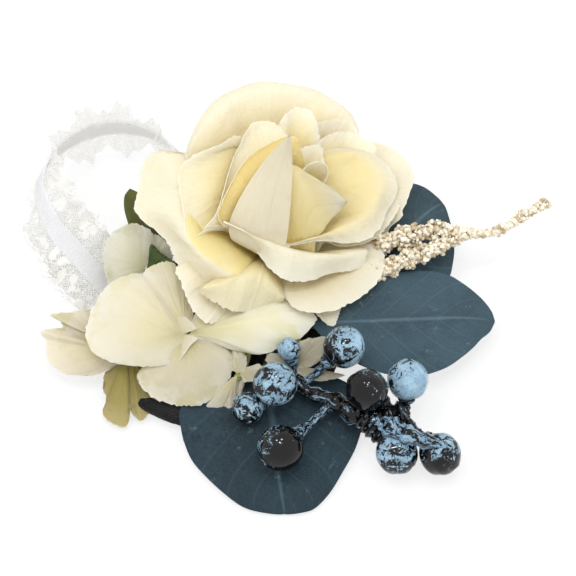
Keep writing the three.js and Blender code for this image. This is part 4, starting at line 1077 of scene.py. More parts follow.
@dataclass(frozen=True)
class Wrap:
    """A bud petal that stands between two edges, both from its foot to its tip, in its flower's own
    frame in millimetres. Its face swells outward."""

    name: str
    swell: float
    left: Route
    right: Route
    pleat: float = 0.26
    deep_outside: bool = False
    thick: float = 0.32
    rows: int = 48
    columns: int = 32

    def grid(self) -> np.ndarray:
        """The petal's surface: straight across between its edges, swollen by the product of two
        half waves, with shallow pleats that run in from its edges."""
        left, right = spline(self.left, self.rows), spline(self.right, self.rows)
        t = np.linspace(0, 1, self.columns)
        s = np.linspace(0, 1, self.rows)
        grid = left[:, None] * (1 - t)[:, None] + right[:, None] * t[:, None]
        pleats = waves(s, len(self.name), (5.0, 9.0, 14.0))[:, None] * t**2
        swell = self.swell * np.sin(math.pi * t) ** 0.8 * np.sin(math.pi * s)[:, None] ** 0.5
        return grid - normals_of(grid) * (swell + self.pleat * pleats)[..., None]

    def shape(self, place: Place) -> Shape:
        """The petal as a closed sheet at its flower's place. Where deep_outside is set, the outside takes
        the inner face's colours, whose deep foot is partly dye and partly painted shade."""
        made = sheet(place.put(self.grid()), self.thick)
        # The outside takes the inner face's deep colour, which is partly painted shade.
        if self.deep_outside:
            made.tone = 1 - made.tone
        return made


@dataclass(frozen=True)
class Floret:
    """A hydrangea floret: its centre, the place in the bundle that its stalk leaves, its cloth and
    its petals."""

    name: str
    centre: Point
    root: Point
    cloth: Cloth
    petals: tuple[Petal, ...]


# Outlines read off the photograph: its columns and rows in pixels, each with a height

PHOTO_MIDDLE = 288.0
PHOTO_FOCUS = 2000.0
PHOTO_EYE = np.array([19.8, -312.44, 512.51])
PHOTO_ELEVATION = 57.0
ROSE_FOOT: Point = (13.3, 27.0, 12.5)
ROSE_AXES = np.array([(0.9166, -0.0524, -0.3965), (0, 0.9915, -0.1310), (0.3999, 0.12, 0.9087)])


def tenths(place: np.ndarray) -> Point:
    """A place to a tenth of a millimetre."""
    return tuple(round(float(part), 1) + 0.0 for part in place)


def sight(column: float, row: float) -> np.ndarray:
    """The direction in which the photograph's camera sees a pixel."""
    a, b = (column - PHOTO_MIDDLE) / PHOTO_FOCUS, (row - PHOTO_MIDDLE) / PHOTO_FOCUS
    elevation = math.radians(PHOTO_ELEVATION)
    flat, rise = math.cos(elevation), math.sin(elevation)
    return np.array([a, flat - b * rise, -rise - b * flat])


def over(*pixels: Point) -> Route:
    """Places about the pad's middle that pixels show: each line of sight is cut at a height above
    the table.

    Args:
        pixels: Column, row and height of each.

    Returns:
        The places.
    """
    route = []
    for column, row, height in pixels:
        way = sight(column, row)
        reached = PHOTO_EYE + way * (height - PHOTO_EYE[2]) / way[2]
        route.append((*tenths(reached[:2]), height))
    return tuple(route)


def seen(*pixels: Point) -> Route:
    """Places in the rose's frame that pixels show: each line of sight is cut at a height along the
    rose's axis.

    Args:
        pixels: Column, row and height of each.

    Returns:
        The places.
    """
    eye = ROSE_AXES @ (PHOTO_EYE - ROSE_FOOT)
    route = []
    for column, row, height in pixels:
        way = ROSE_AXES @ sight(column, row)
        reached = eye + way * (height - eye[2]) / way[2]
        route.append(tenths([*reached[:2], height]))
    return tuple(route)


def polar(*points: Point) -> Route:
    """Places in the rose's frame from their azimuth in degrees, their reach and their height."""
    turns = [(math.radians(azimuth), reach, height) for azimuth, reach, height in points]
    return tuple(tenths([r * math.cos(turn), r * math.sin(turn), h]) for turn, r, h in turns)


def lobe(azimuth: float, half: float, reach: float, height: float) -> Route:
    """The outline of a petal that the others hide: a broad lobe on a short foot.

    Args:
        azimuth: The middle of the lobe, in degrees.
        half: Half of the angle that it spans.
        reach: How far out it goes.
        height: How high it goes.

    Returns:
        The outline.
    """
    turns = (-0.95, -0.72, -0.3, 0.3, 0.72, 0.95)
    reaches = (0.62, 0.93, 1.02, 1.02, 0.93, 0.62)
    heights = (0.6, 1, 1.05, 1, 0.9, 0.55)
    steps = [(azimuth + half * a, reach * b, height * c) for a, b, c in zip(turns, reaches, heights)]
    return polar((azimuth - half / 2, 9, 1), *steps, (azimuth + half / 2, 9, 1))


# The rose's petals by layer, the first layer the lowest
FIRST_LAYER = (
    Petal("under_right", 4, 26, lobe(350, 44, 30, 7)),
    Petal("under_back_right", 4, 26, lobe(55, 42, 30, 8)),
    Petal("under_back", 4, 26, lobe(125, 44, 29, 9)),
    Petal("under_left", 4, 26, lobe(190, 38, 27, 6)),
    Petal("hanging_tip", 4, -30, polar((222, 14, 2)) + seen((177, 266, 4), (181, 284, 2),
        (187.5, 300, 0), (196, 314, -2), (207, 323, -3), (220, 321, -3.4), (231, 313, -3)) +
        polar((256, 16, -1))),
    Petal("under_tip", -4, -12, polar((284, 14, 0)) + seen((318, 316, 5), (326, 323, 5),
        (333, 326.5, 5), (338, 318, 6.4), (340, 308, 8)) + polar((318, 18, 2))),
)
SECOND_LAYER = (
    Petal("left_outer", 14, -62, polar((152, 15, 8), (156, 30, 15)) + seen((172, 153, 17),
        (158, 152.6, 12), (146, 161, 8), (137.4, 190.5, 5), (134.5, 208.4, 4), (142, 220, 3.5),
        (158, 233, 3), (170, 247, 2), (178, 266.4, 1), (193.6, 283.2, 0), (209.3, 295.4, -1),
        (229, 306, -1.5), (240, 300, 1)) + polar((254, 14, 1)),
        (
            polar((156, 11, 6), (164, 18, 9)) + seen((204, 192, 12.5), (208, 226, 11.8),
            (228, 247, 11), (248, 263, 9.4)) + polar((250, 9, 3)),
            polar((152, 12, 7), (158, 27, 16)) + seen((178, 170.4, 19), (181, 200, 17),
            (187, 238, 15), (195.9, 250, 14), (209.3, 262, 12.6), (231.6, 275, 10.4), (242, 279, 9)) +
            polar((252, 11, 3.4)),
        ),
    ),
    Petal("front_ridge", 10, -70, polar((230, 13, 1)) + seen((201, 291, 4), (212, 301, 3),
        (229, 310.5, 2), (245, 310.5, 0.5), (265, 308.4, 0.5), (283, 302, 2)) + polar((290, 13, 1)),
        (
            polar((234, 11, 3)) + seen((205, 286, 7), (228, 281, 10.4), (243, 275, 11.4),
            (258, 275.5, 10.6), (272, 285, 8), (284, 297, 5.4)) + polar((288, 11, 3)),
        ),
    ),
    Petal("right_front", 16, 4, polar((42, 15, 7)) + seen((396, 212, 17), (390, 226, 17),
        (385, 240, 16.6), (384, 256, 16), (383.5, 268, 15.5), (376, 284, 14), (363, 296, 12.4),
        (343, 307, 10.4), (323, 312, 9), (305, 311, 7.4), (290, 305, 6)) + polar((282, 12, 2))),
    Petal("top_back", 22, -60, polar((182, 15, 8), (178, 30, 17)) + seen((184.7, 159.3, 19),
        (193.6, 130.3, 24), (209.3, 106.8, 27), (231.6, 91.2, 28), (262.8, 82.9, 29),
        (289.6, 84.5, 29), (316.4, 90.1, 28), (338.7, 103.5, 25.5), (352.1, 118, 23),
        (358, 134.7, 21)) + polar((42, 30, 14), (42, 15, 6.5)),
        (
            polar((180, 13, 9), (174, 26, 16)) + seen((191, 160, 20.5), (200.3, 134.7, 26.5),
            (220.4, 114.6, 30), (245, 99, 31), (276.2, 94.6, 31.5), (309.7, 98, 30.4),
            (332, 110.2, 28), (346, 125.8, 24)) + polar((46, 27, 15), (44, 13, 7)),
        ),
    ),
)
THIRD_LAYER = (
    Petal("right_outer", 24, 40, polar((70, 16, 9), (64, 30, 19)) + seen((350, 128, 25),
        (360, 139, 26), (373, 141, 26.5), (394.5, 149, 26.5), (407.9, 161.5, 27), (414.6, 177.1, 27),
        (411, 190, 25), (406, 204, 22), (398, 222, 19)) + polar((350, 20, 12), (0, 15, 9))),
    Petal("right_lower", 14, 10, polar((40, 15, 8), (34, 30, 18)) + seen((400, 196, 22),
        (398, 210, 21), (388, 226, 19.4), (376, 238, 18), (357, 244.5, 17), (340, 245, 16.8),
        (326, 242, 17)) + polar((318, 15, 10))),
    Petal("back_frill", 30, 30, polar((108, 14, 12)) + seen((300, 132, 28), (312, 125, 28.4),
        (326, 120, 28.4), (342, 120, 28), (354, 126, 27), (361, 139, 26)) + polar((44, 20, 16),
        (44, 13, 10))),
    Petal("front", 20, -62, polar((214, 12, 9)) + seen((221, 223, 16.6), (236, 229, 16),
        (247, 240, 14.8), (262, 258.5, 12.4), (272, 271.5, 11.4), (284, 280.5, 11), (299, 282, 11),
        (314, 279.5, 11.6), (322, 274, 12), (340, 271.5, 12.6), (360, 268.5, 13.6),
        (367.4, 259, 15.4), (366, 252, 16.4)) + polar((346, 16, 10)),
        (
            polar((216, 11, 10)) + seen((223, 221.6, 18), (240, 229, 18.6), (256, 237, 19),
            (278, 245, 19.4), (298.5, 251.5, 19.4), (320.8, 255.6, 18.6), (341, 255, 18.2),
            (356, 250.5, 18), (364, 249, 17.6)) + polar((346, 14, 12)),
        ),
    ),
    Petal("left_inner", 34, 58, polar((226, 11.5, 7)) + seen((222, 228, 14.4), (205, 229, 15.6),
        (189, 237.5, 15), (183, 214, 17.6), (179, 190, 20), (179.5, 167, 22.6), (198, 154, 26),
        (219, 145, 28.4), (242, 137, 30)) + polar((140, 17, 22), (138, 11, 9.6)),
        (
            polar((226, 10.5, 6.5)) + seen((226, 228, 13), (220, 222, 14.4), (219, 212, 16),
            (222, 195, 18.8), (229, 172, 22.2), (240, 151, 25.4)) + polar((136, 15, 20.5),
            (138, 10.5, 9.5)),
        ),
    ),
)
FOURTH_LAYER = (
    Petal("back_right_lobe", 40, 30, polar((92, 9, 14)) + seen((304, 164, 28), (313, 154, 29),
        (318, 144, 30), (327, 136, 30.4), (338.7, 132, 30.4), (352, 133, 29.6), (364, 139, 29),
        (376, 150, 28)) + polar((30, 20, 18), (30, 11, 12))),
    Petal("back_lobe", 46, 24, polar((132, 9, 13)) + seen((279, 140, 31), (279.6, 124, 32),
        (286.2, 112.4, 33), (298.5, 107.5, 33), (311.9, 113, 33), (318, 125.8, 32), (320, 140, 30)) +
        polar((62, 14, 22), (62, 8, 13))),
    Petal("left_mid", 40, 74, polar((232, 10, 8)) + seen((225, 226, 15), (212, 226, 16),
        (203, 229, 16), (214, 213, 19.4), (223, 194, 22.9), (230, 172, 26), (238, 149, 29),
        (246, 132, 31), (254, 123.5, 32), (264, 120.5, 32.5), (274, 122.5, 33), (285, 131, 33)) +
        polar((100, 12.6, 25), (100, 9, 12)),
        (
            polar((232, 9, 8)) + seen((229, 226, 14), (226, 217, 16.2), (230, 204, 19),
            (238, 187, 22.4), (249, 169, 26.2), (265, 159, 28.8), (288, 147, 31.4)) +
            polar((98, 8.6, 20)),
        ),
    ),
    Petal("right_cup", 30, -20, polar((82, 10, 15), (76, 20, 24)) + seen((340, 148, 27),
        (356.6, 150, 27), (374, 155.9, 26.5), (388, 168.2, 26), (397, 184, 25), (396, 198, 23),
        (386, 214, 22), (383, 224, 21), (372, 236, 20), (358, 242, 19.4), (343, 243.6, 19.2),
        (320, 240.8, 20), (303, 243.4, 19.6), (284, 247, 18.6)) + polar((246, 14, 14)),
        (
            polar((84, 8, 16)) + seen((322, 162, 27.5), (333, 178, 25), (347, 198, 22.6),
            (343, 212, 20.4), (330, 226, 18.4), (318, 238, 17.4), (300, 244, 16.4)) +
            polar((248, 9, 13)),
            polar((84, 9, 15), (78, 17, 25)) + seen((345, 152, 30), (364, 160, 29), (375, 176, 28),
            (378, 194, 27), (371, 210, 25.6), (356, 221, 24.2), (332, 232, 22.6), (306, 240, 20.8),
            (288, 244, 19.6)) + polar((248, 12, 14)),
        ),
    ),
)
FIFTH_LAYER = (
    Petal("left_bud", 66, 84, polar((242, 7, 10)) + seen((226, 226, 16.2), (220, 214, 19.2),
        (227, 193, 24), (238.5, 167, 29.6), (256, 151, 33.6), (284, 137, 38.2), (297, 139, 38)) +
        polar((80, 6, 27), (80, 5, 17)),
        (
            polar((242, 6, 11)) + seen((233, 226, 15.6), (233, 212, 19.4), (241, 196, 23.8),
            (256, 176, 29), (270, 162, 33), (289, 146, 37.4)) + polar((80, 5, 24)),
        ),
    ),
    Petal("inner_back", 76, 40, polar((150, 4, 18)) + seen((284, 164, 32), (290, 153, 34),
        (303, 147.6, 34), (317, 144.6, 33), (323, 150, 31.6)) + polar((30, 9, 23), (20, 6, 16))),
    Petal("bud_tip", 80, 104, polar((150, 3, 20)) + seen((302, 172, 33), (306, 166.6, 34.6),
        (313, 163, 35), (322, 163.4, 34.6), (328, 168, 33.4), (329, 176, 31.6), (325, 184, 29.6)) +
        polar((0, 6, 20))),
)
ROSE_LAYERS = (FIRST_LAYER, SECOND_LAYER, THIRD_LAYER, FOURTH_LAYER, FIFTH_LAYER)

# The two petals at the front of the bud.
BUD_PETALS = (
    Wrap(
        "pointed", 1.3,
        polar((215, 3.3, 6.6)) + seen((233, 240, 12.4), (229, 226, 16.6), (236, 206, 23),
        (247, 186, 28.6), (263, 163, 35), (278, 146, 40), (290, 134.4, 43)),
        polar((272, 3.3, 6.6)) + seen((286, 262, 13), (286, 246, 18.4), (288.4, 225, 24.4),
        (290.6, 200, 31), (292, 172, 37), (291.6, 150, 40.8), (290, 134.4, 43)),
    ),
    Wrap(
        "right_bud", 1.6,
        polar((250, 3.3, 6.6)) + seen((282, 262, 12), (280, 246, 16.6), (282, 222, 22.6), (284, 198, 29),
        (286.6, 180, 33), (291, 165, 36), (309, 174.4, 33.6), (331, 188.4, 30.6), (347.6, 202, 27.4)),
        polar((310, 3.3, 6.6)) + seen((312, 258, 13), (316, 240, 19.6), (325, 227, 22.2),
        (336, 213.4, 24.8), (347.6, 202, 27.4)),
        deep_outside=True,
    ),
)

# The florets, their outlines about the pad's middle.
FLORETS = (
    Floret("floret_front", over((187, 336, 18.5))[0], (-0.9, 0.1, 0.75), Cloth.FLORET, (
        Petal("left", 10, -22, over((197, 340, 19.4), (188, 348, 18.6), (174.6, 363.6, 15),
            (160, 366, 14.5), (146.6, 366.1, 14), (124.2, 365, 13.5), (107.3, 360.8, 13.5),
            (91.9, 351, 14), (86.3, 337, 15), (87, 322.9, 16), (96.1, 300.5, 19), (110.1, 284.4, 21),
            (127, 276.6, 21), (143.8, 275.2, 20), (156, 284, 19.6), (173, 307, 19.8),
            (186, 317, 19.8), (197, 328, 19.8))),
        Petal("top", 16, -10, over((170, 326, 18.6), (152, 300, 20.5), (143.8, 273.8, 21.5),
            (152.2, 265.4, 22), (162, 261.2, 22), (171.8, 262.6, 21.5), (182, 273, 20),
            (192, 296, 18.5), (194, 326, 18))),
        Petal("bottom", -12, -46, over((180, 345, 17.5), (150, 360, 12.5), (138.2, 373.4, 10.5),
            (141, 384.6, 9), (149.4, 393.1, 8), (159.2, 400.1, 7), (173.2, 405, 6.2),
            (187.3, 406.8, 6), (201.3, 404.3, 6.4), (215.3, 395.9, 7.5), (225.1, 384.6, 9),
            (232.1, 370.6, 11), (232.8, 356, 13), (222, 345, 15.5), (200, 341, 17.5))),
        Petal("right", 2, -26, over((190, 341, 18), (209.3, 341.8, 17), (227.1, 347.4, 15.5),
            (245, 350.8, 14.5), (262.8, 353.5, 14), (280.7, 347.9, 14), (298.5, 339, 14),
            (309.7, 328.9, 14), (316.4, 317.8, 14), (300, 303, 15), (262, 298, 16), (226, 296, 17),
            (204, 302, 17.8), (192, 322, 18.4))),
    )),
    Floret("floret_left", over((128, 352, 9.5))[0], (-0.9, -0.5, -0.4), Cloth.FADED, (
        Petal("far", 8, 10, over((120, 362, 9), (103, 372.5, 7.5), (79.3, 375, 7), (65.2, 373.4, 7.5),
            (54, 367.8, 8), (46.3, 356.6, 9), (45.6, 341, 10.5), (39.8, 332.5, 13), (50, 328, 12.5),
            (66, 327, 11.5), (90, 330, 10.5), (116, 342, 10))),
        Petal("upper", 14, 24, over((110, 345, 10), (86.3, 341.2, 11), (73.7, 337, 11.5),
            (65.2, 328.5, 12.5), (58, 318, 14), (51.2, 314.2, 16), (68, 312.6, 15), (87.7, 308.5, 14),
            (108, 318, 12), (124, 340, 10))),
        Petal("hanging", -10, -16, over((122, 360, 8.5), (106, 371, 6.5), (103.1, 390.3, 4.6),
            (105.9, 398.7, 4), (102.4, 411.3, 3), (107.3, 421.1, 2.4), (121.3, 428.1, 2),
            (125.6, 427.4, 2.1), (129.8, 416.9, 3), (127, 397.3, 4.4), (126, 372, 7), (128, 360, 8.6))),
        Petal("folded", -12, -8, over((128, 362, 8), (127.5, 385, 5.4), (128.4, 401.5, 4.2),
            (131.2, 412.7, 3.4), (141, 421.4, 2.4), (152.2, 408.5, 3.4), (160.5, 401, 4),
            (152, 385, 5.2), (140, 366, 7.4))),
    )),
    Floret("floret_back", over((146, 271, 14.2))[0], (-0.9, 0.55, 0.2), Cloth.GREENISH, (
        Petal("tall", 26, 30, over((138, 284, 12), (111.9, 286, 11), (103.5, 270.7, 12.5),
            (103.5, 250.8, 15), (108.8, 237, 17), (119.5, 227.8, 18.5), (133.3, 223.2, 19.5),
            (147.1, 227.8, 19), (153.5, 236, 18), (153.2, 261.5, 14.5))),
        Petal("right", 20, 10, over((154, 266, 14), (152, 246, 16), (154.8, 234.4, 17.5),
            (165.5, 241.6, 17), (173.1, 258.5, 15), (166, 268, 13.6))),
        Petal("bract", 24, -6, over((152, 266, 14.6), (150.5, 252, 16.4), (152.5, 245, 17.4),
            (160, 252, 17.4), (172, 261, 16.6), (164, 265, 15), (156, 268, 14.2))),
        Petal("low", -4, -20, over((138, 280, 12.6), (128, 292, 11), (132, 304, 9.6), (146, 308, 9),
            (158, 300, 10), (158, 284, 12))),
    )),
    Floret("floret_lower", over((238, 375, 11.5))[0], (0.1, -0.5, 0), Cloth.FLORET, (
        Petal("white", -24, -40, over((232, 378, 10.6), (212, 396, 6.5), (207, 407, 5),
            (215.3, 411.6, 4.4), (227.9, 408.8, 4.8), (237, 400, 6), (240, 386, 8.6))),
        Petal("strip", -20, -70, over((234, 368, 11.8), (233, 350, 13.6), (239, 356, 13),
            (242, 372, 10.8), (242.4, 388, 8.2), (239.6, 400, 6), (237.5, 384, 9))),
        Petal("back", 10, 0, over((232, 370, 12), (226, 358, 13), (236, 350, 13.6), (246, 356, 13.2),
            (246, 368, 12))),
        Petal("right", 0, -10, over((242, 370, 11.8), (256, 364, 12), (266, 370, 11.4),
            (262, 380, 10.6), (244, 382, 10.8))),
    )),
    Floret("floret_dried", over((294, 366, 12.6))[0], (0.9, -0.2, 0.8), Cloth.DRIED, (
        Petal("long", 24, -8, over((290, 362, 13), (298, 348, 15), (303, 341.5, 16), (316, 337, 16.6),
            (327, 338, 16.4), (327, 352, 14.6), (312, 366.5, 13), (298, 368, 12.6))),
        Petal("narrow", 0, -10, over((298, 370, 12.4), (312, 372.4, 11.8), (328, 373, 11.4),
            (344.6, 374.6, 11), (330, 380, 10.8), (312, 380, 11.2), (297, 373, 12.2))),
        Petal("left", 10, 0, over((292, 372, 12.2), (276, 370, 12.6), (266, 360, 13.6),
            (272, 352, 14.4), (288, 358, 13.4))),
        Petal("front", -10, -20, over((296, 372, 12), (300, 384, 10), (294, 392, 9), (286, 388, 9.4),
            (288, 374, 11.8))),
    )),
)

# Petals of florets that have a cloth of their own. floret_front_right's is a lighter copy: painted light
# against the shadow of the rose on it.
SPECIAL_CLOTHS = {
    "floret_left_hanging": Cloth.OLIVE,
    "floret_left_folded": Cloth.OLIVE,
    "floret_front_bottom": Cloth.FADED,
    "floret_front_right": Cloth.BRIGHT,
}


# The taped bundle, which every stem meets

BUNDLE_MIDDLE = np.array([3.0, 1.0, 9.3])
BUNDLE_REACH = np.array([15.0, 3.0, 3.0])


def bundle_point(share: Point) -> np.ndarray:
    """A place in the taped bundle, from shares of its half length and radius."""
    return BUNDLE_MIDDLE + BUNDLE_REACH * np.array(share)


# The rose


@dataclass(frozen=True)
class Rose:
    """The ivory rose: five layers of moulded petals on a spiked hub, a bud core, calyx and stem.
    Profiles are radius and height along the rose's axis, and the sepal is reach, side and height."""

    place: Place = Place(ROSE_FOOT, (0.4, 0.12, 0.909))
    hub_radius: float = 3.3
    layer_pitch: float = 1.5
    seat: float = 0.6
    core: Profile = (
        (0, 0), (4.2, 0), (4.5, 1), (4.2, 7.2), (2.8, 7.6), (2.8, 14), (2.4, 18), (1.6, 21.6), (0.8, 23.4),
        (0, 23.8),
    )
    calyx: Profile = ((0, -6.2), (2.4, -6.1), (3.6, -5), (5, -3), (5.2, -0.6), (4.4, -0.2), (0, -0.2))
    calyx_radius: float = 3.8
    sepal: Route = ((5, -1.8, -0.4), (10, -4, 0), (16, -3.4, -1), (21, -1.2, -2.6), (23, 0, -3.2))
    sepal_azimuths: tuple[float, ...] = (20, 92, 164, 236, 308)
    stem_radius: float = 1.5
    stem_bend: float = 7.5
    stem_drop: float = 7.5
    stem_rise: float = 6.0

    def build(self) -> None:
        """Makes the petals layer by layer, then the core and the green parts."""
        # left_outer's and front's cloths are lightened copies: painted light against the shade of the pocket
        # and of the down-facing rim.
        special = {"left_outer": Cloth.ROLLED, "front_ridge": Cloth.RIDGE, "front": Cloth.FRONT}
        # left_bud's cloth is deep at its rim: painted shade under the frill above it.
        special |= {"top_back": Cloth.OUTER, "left_bud": Cloth.FOLD}
        for layer, petals in enumerate(ROSE_LAYERS, 1):
            seat = self.seat + (layer - 1) * self.layer_pitch
            for petal in petals:
                shape = replace(petal, seat=seat).shape(self.place, self.hub_radius)
                usual = Cloth.INNER if layer > 3 or petal.inner else Cloth.OUTER
                cloth = special.get(petal.name, usual)
                self.stand_petal(petal.name, shape, cloth, layer)
        for petal in BUD_PETALS:
            self.stand_petal(petal.name, petal.shape(self.place), Cloth.BUD, len(ROSE_LAYERS))
        core = turned(self.core, 24).put(self.place)
        stand("rose_core", core, Cloth.INNER.material(), ("rose_bud_core",))
        self.build_green()

    @staticmethod
    def stand_petal(name: str, shape: Shape, cloth: Cloth, layer: int) -> None:
        """Stands a petal on its layer."""
        stand("rose_" + name, shape, cloth.material(), (f"rose_petal_layer_{layer}",))

    def build_green(self) -> None:
        """The calyx with its five sepals, and the stem that carries the rose."""
        green = PlainFinish("calyx_green", (104, 122, 52), (58, 78, 30), 0.6, depth=0.0003).material()
        cup = turned(self.calyx, 28).put(self.place)
        stand("rose_calyx_cup", cup, green, ("rose_calyx",))
        outline = [*self.sepal, *[(reach, -side, height) for reach, side, height in self.sepal[-2::-1]]]
        sepals = []
        for azimuth in self.sepal_azimuths:
            turn = math.radians(azimuth)
            out = np.array([math.cos(turn), math.sin(turn)])
            aside = np.array([-math.sin(turn), math.cos(turn)])
            rim = tuple((*(out * reach + aside * side), height) for reach, side, height in outline)
            sepal = Petal("sepal", 8, -18, rim, seat=-1.4, ripple=0.2, rows=14, columns=24)
            sepals.append(sepal.shape(self.place, self.calyx_radius))
        stand("rose_sepals", joined(sepals), green)
        axis = unit(np.array(self.place.axis))
        low = np.array(self.place.foot) - axis * self.stem_drop
        bend = BUNDLE_MIDDLE + [0, self.stem_bend, 0]
        route = spline([BUNDLE_MIDDLE, bend, low, low + axis * self.stem_rise], 30)
        stem = tube(route, self.stem_radius, 12)
        stand("rose_stem", stem, green, ("rose_stem_and_spike",))


# The florets


@dataclass(frozen=True)
class Florets:
    """The hydrangea florets: a few separate petals each, round a bead at the top of a stalk."""

    hub_radius: float = 0.6
    stalk_radius: float = 0.8
    stalk_start: float = 6.0
    stalk_end: float = 4.8
    bead: Profile = ((0, -2.2), (1, -2), (1.3, -1.4), (1.1, -0.7), (0.5, -0.2), (0, 0))

    def build(self) -> None:
        """Makes each floret's petals, then its bead and stalk."""
        green = PlainFinish("stalk_green", (176, 176, 120), (128, 134, 78), 0.7, depth=0.0003).material()
        leafy = PlainFinish("bract_green", (78, 96, 42), (44, 60, 22), 0.6, depth=0.0003).material()
        for floret in FLORETS:
            place = Place(floret.centre)
            for petal in floret.petals:
                rim = tuple(tuple(a - b for a, b in zip(point, floret.centre)) for point in petal.rim)
                own = replace(petal, name=floret.name + petal.name, rim=rim)
                shape = own.shape(place, self.hub_radius)
                kind = f"{floret.name}_{petal.name}"
                if petal.name == "bract":
                    stand(kind, shape, leafy)
                    continue
                cloth = SPECIAL_CLOTHS.get(kind, floret.cloth).material()
                stand(kind + "_petal", shape, cloth, (floret.name,))
            self.build_stalk(floret, green)

    def build_stalk(self, floret: Floret, green: Material) -> None:
        """The bead that holds the petals and the stalk that runs from it to the taped bundle."""
        bead = turned(self.bead, 16).put(Place(floret.centre))
        stand(floret.name + "_bead", bead, green)
        centre, root = np.array(floret.centre), bundle_point(floret.root)
        bend = root + unit(root - BUNDLE_MIDDLE) * self.stalk_start
        stalk = tube(spline([root, bend, centre - UP * self.stalk_end, centre], 32), self.stalk_radius, 8)
        stand(floret.name + "_wire", stalk, green, (floret.name + "_stalk",))


# The pad, the glue and the taped bundle


@dataclass(frozen=True)
class Backing:
    """The felt pad, the bed of hot glue and the taped bundle of stems."""

    pad_half: tuple[float, float] = (36.0, 31.0)
    pad_low: float = 2.2
    pad_top: float = 4.2
    pad_fuzz: float = 0.05
    glue: Profile = (
        (0, 4.5), (0.8, 4.5), (0.97, 4.7), (1, 5.2), (0.9, 5.9), (0.7, 6.6), (0.45, 7), (0, 7.1),
    )
    glue_half: tuple[float, float] = (17.4, 7.4)
    tape_half: float = 14.9
    tape_radius: float = 2.75
    tape_lap: float = 0.2
    tape_turns: int = 9

    def build(self) -> None:
        """Makes the three pieces."""
        self.build_pad()
        self.build_glue()
        self.build_bundle()

    def build_pad(self) -> None:
        """The oval pad: a round-edged profile of many rings, stretched to the oval and roughened."""
        low, top = self.pad_low, self.pad_top
        inner = np.linspace(0.04, 0.95, 30)
        edge = [(0.975, 0.15), (0.995, 0.6)]
        under = [(0, low), *[(r, low) for r in inner], *[(r, low + rise) for r, rise in edge]]
        above = [*[(r, top - rise) for r, rise in edge[::-1]], *[(r, top) for r in inner[::-1]], (0, top)]
        profile = [*under, (1, (low + top) / 2), *above]
        felt = turned(profile, 128)
        rough = np.random.default_rng(4).normal(0, self.pad_fuzz, felt.corners.shape)
        rough[:, 2] = np.abs(rough[:, 2]) * np.where(felt.corners[:, 2] > low + 0.3, 1, 0)
        felt.corners = felt.corners * [*self.pad_half, 1] + rough
        finish = PlainFinish(
            "black_felt", (24, 24, 25), (10, 10, 11), 0.97, 160.0, 1300.0, 0.0005, sheen=0.35, specular=0.15
        )
        piece = stand("felt_pad_oval", felt, finish.material(), ("felt_backing_pad",))

    def build_glue(self) -> None:
        """The glue bed: a flat drop that has run out under the bundle, with a wavy rim."""
        glue = turned(self.glue, 64)
        angle = np.arctan2(glue.corners[:, 1], glue.corners[:, 0])
        swell = 1 + 0.05 * np.sin(3 * angle + 1) + 0.03 * np.sin(7 * angle)
        glue.corners[:, :2] *= swell[:, None] * self.glue_half
        glue.corners[:, :2] += BUNDLE_MIDDLE[:2]
        finish = PlainFinish(
            "hot_glue", (226, 220, 196), (206, 196, 160), 0.3, 90.0, 300.0, 0.0003, specular=0.5, glow=0.5
        )
        stand("glue_drop", glue, finish.material(), ("glue_bed",))

    def build_bundle(self) -> None:
        """The bundle: a tube whose radius steps where the tape overlaps itself in a spiral."""
        run = np.linspace(0, 1, 90)
        along = (2 * run - 1) * self.tape_half
        route = BUNDLE_MIDDLE + along[:, None] * [1, 0, 0]
        lap = np.mod(run * self.tape_turns, 1)
        ends = 1 - 0.25 * np.maximum(0, np.abs(2 * run - 1) * 12 - 11)
        bundle = tube(route, (self.tape_radius + self.tape_lap * lap) * ends, 28)
        finish = PlainFinish("floral_tape", (74, 92, 46), (50, 64, 30), 0.7, 200.0, 700.0, 0.0003)
        stand("tape_bundle", bundle, finish.material(), ("taped_stem_bundle",))


# The leaves


@dataclass(frozen=True)
class Blade:
    """A leaf between its left and right edges, both from its foot to its tip, and the place in the
    bundle that its wire leaves. Fold is the height of its midrib, crown that of its arch."""

    name: str
    left: Route
    right: Route
    root: Point
    fold: float = 0.8
    crown: float = 1.0
    wave: float = 0.5

    def grid(self, rows: int = 72, columns: int = 37) -> np.ndarray:
        """The leaf's surface: straight across between its edges, lifted along the midrib or pressed
        down beside it, with a slow wave toward the edges.

        Args:
            rows: Places along the leaf.
            columns: Places across it.

        Returns:
            Places by row and column, in millimetres.
        """
        left, right = spline(self.left, rows), spline(self.right, rows)
        t = np.linspace(-1, 1, columns)
        s = np.linspace(0, 1, rows)
        grid = left[:, None] * ((1 - t) / 2)[:, None] + right[:, None] * ((1 + t) / 2)[:, None]
        span = np.linalg.norm(right - left, axis=1) / np.linalg.norm(right - left, axis=1).max()
        sag = self.crown * (1 - t**2) * np.sin(math.pi * s)[:, None]
        rib = self.fold * np.exp(-np.abs(t) * 7) * np.sin(math.pi * np.minimum(1, s * 1.1))[:, None]
        drift = self.wave * np.abs(t) ** 2 * waves(s, len(self.name), (1.7, 3.1))[:, None]
        grid[..., 2] += (sag + rib + drift) * np.sqrt(span)[:, None]
        over_pad = 1 - smooth((np.hypot(grid[..., 0] / 37, grid[..., 1] / 32) - 1) / 0.16)
        grid[..., 2] = np.maximum(grid[..., 2], 0.5 + 4.4 * over_pad)
        return grid


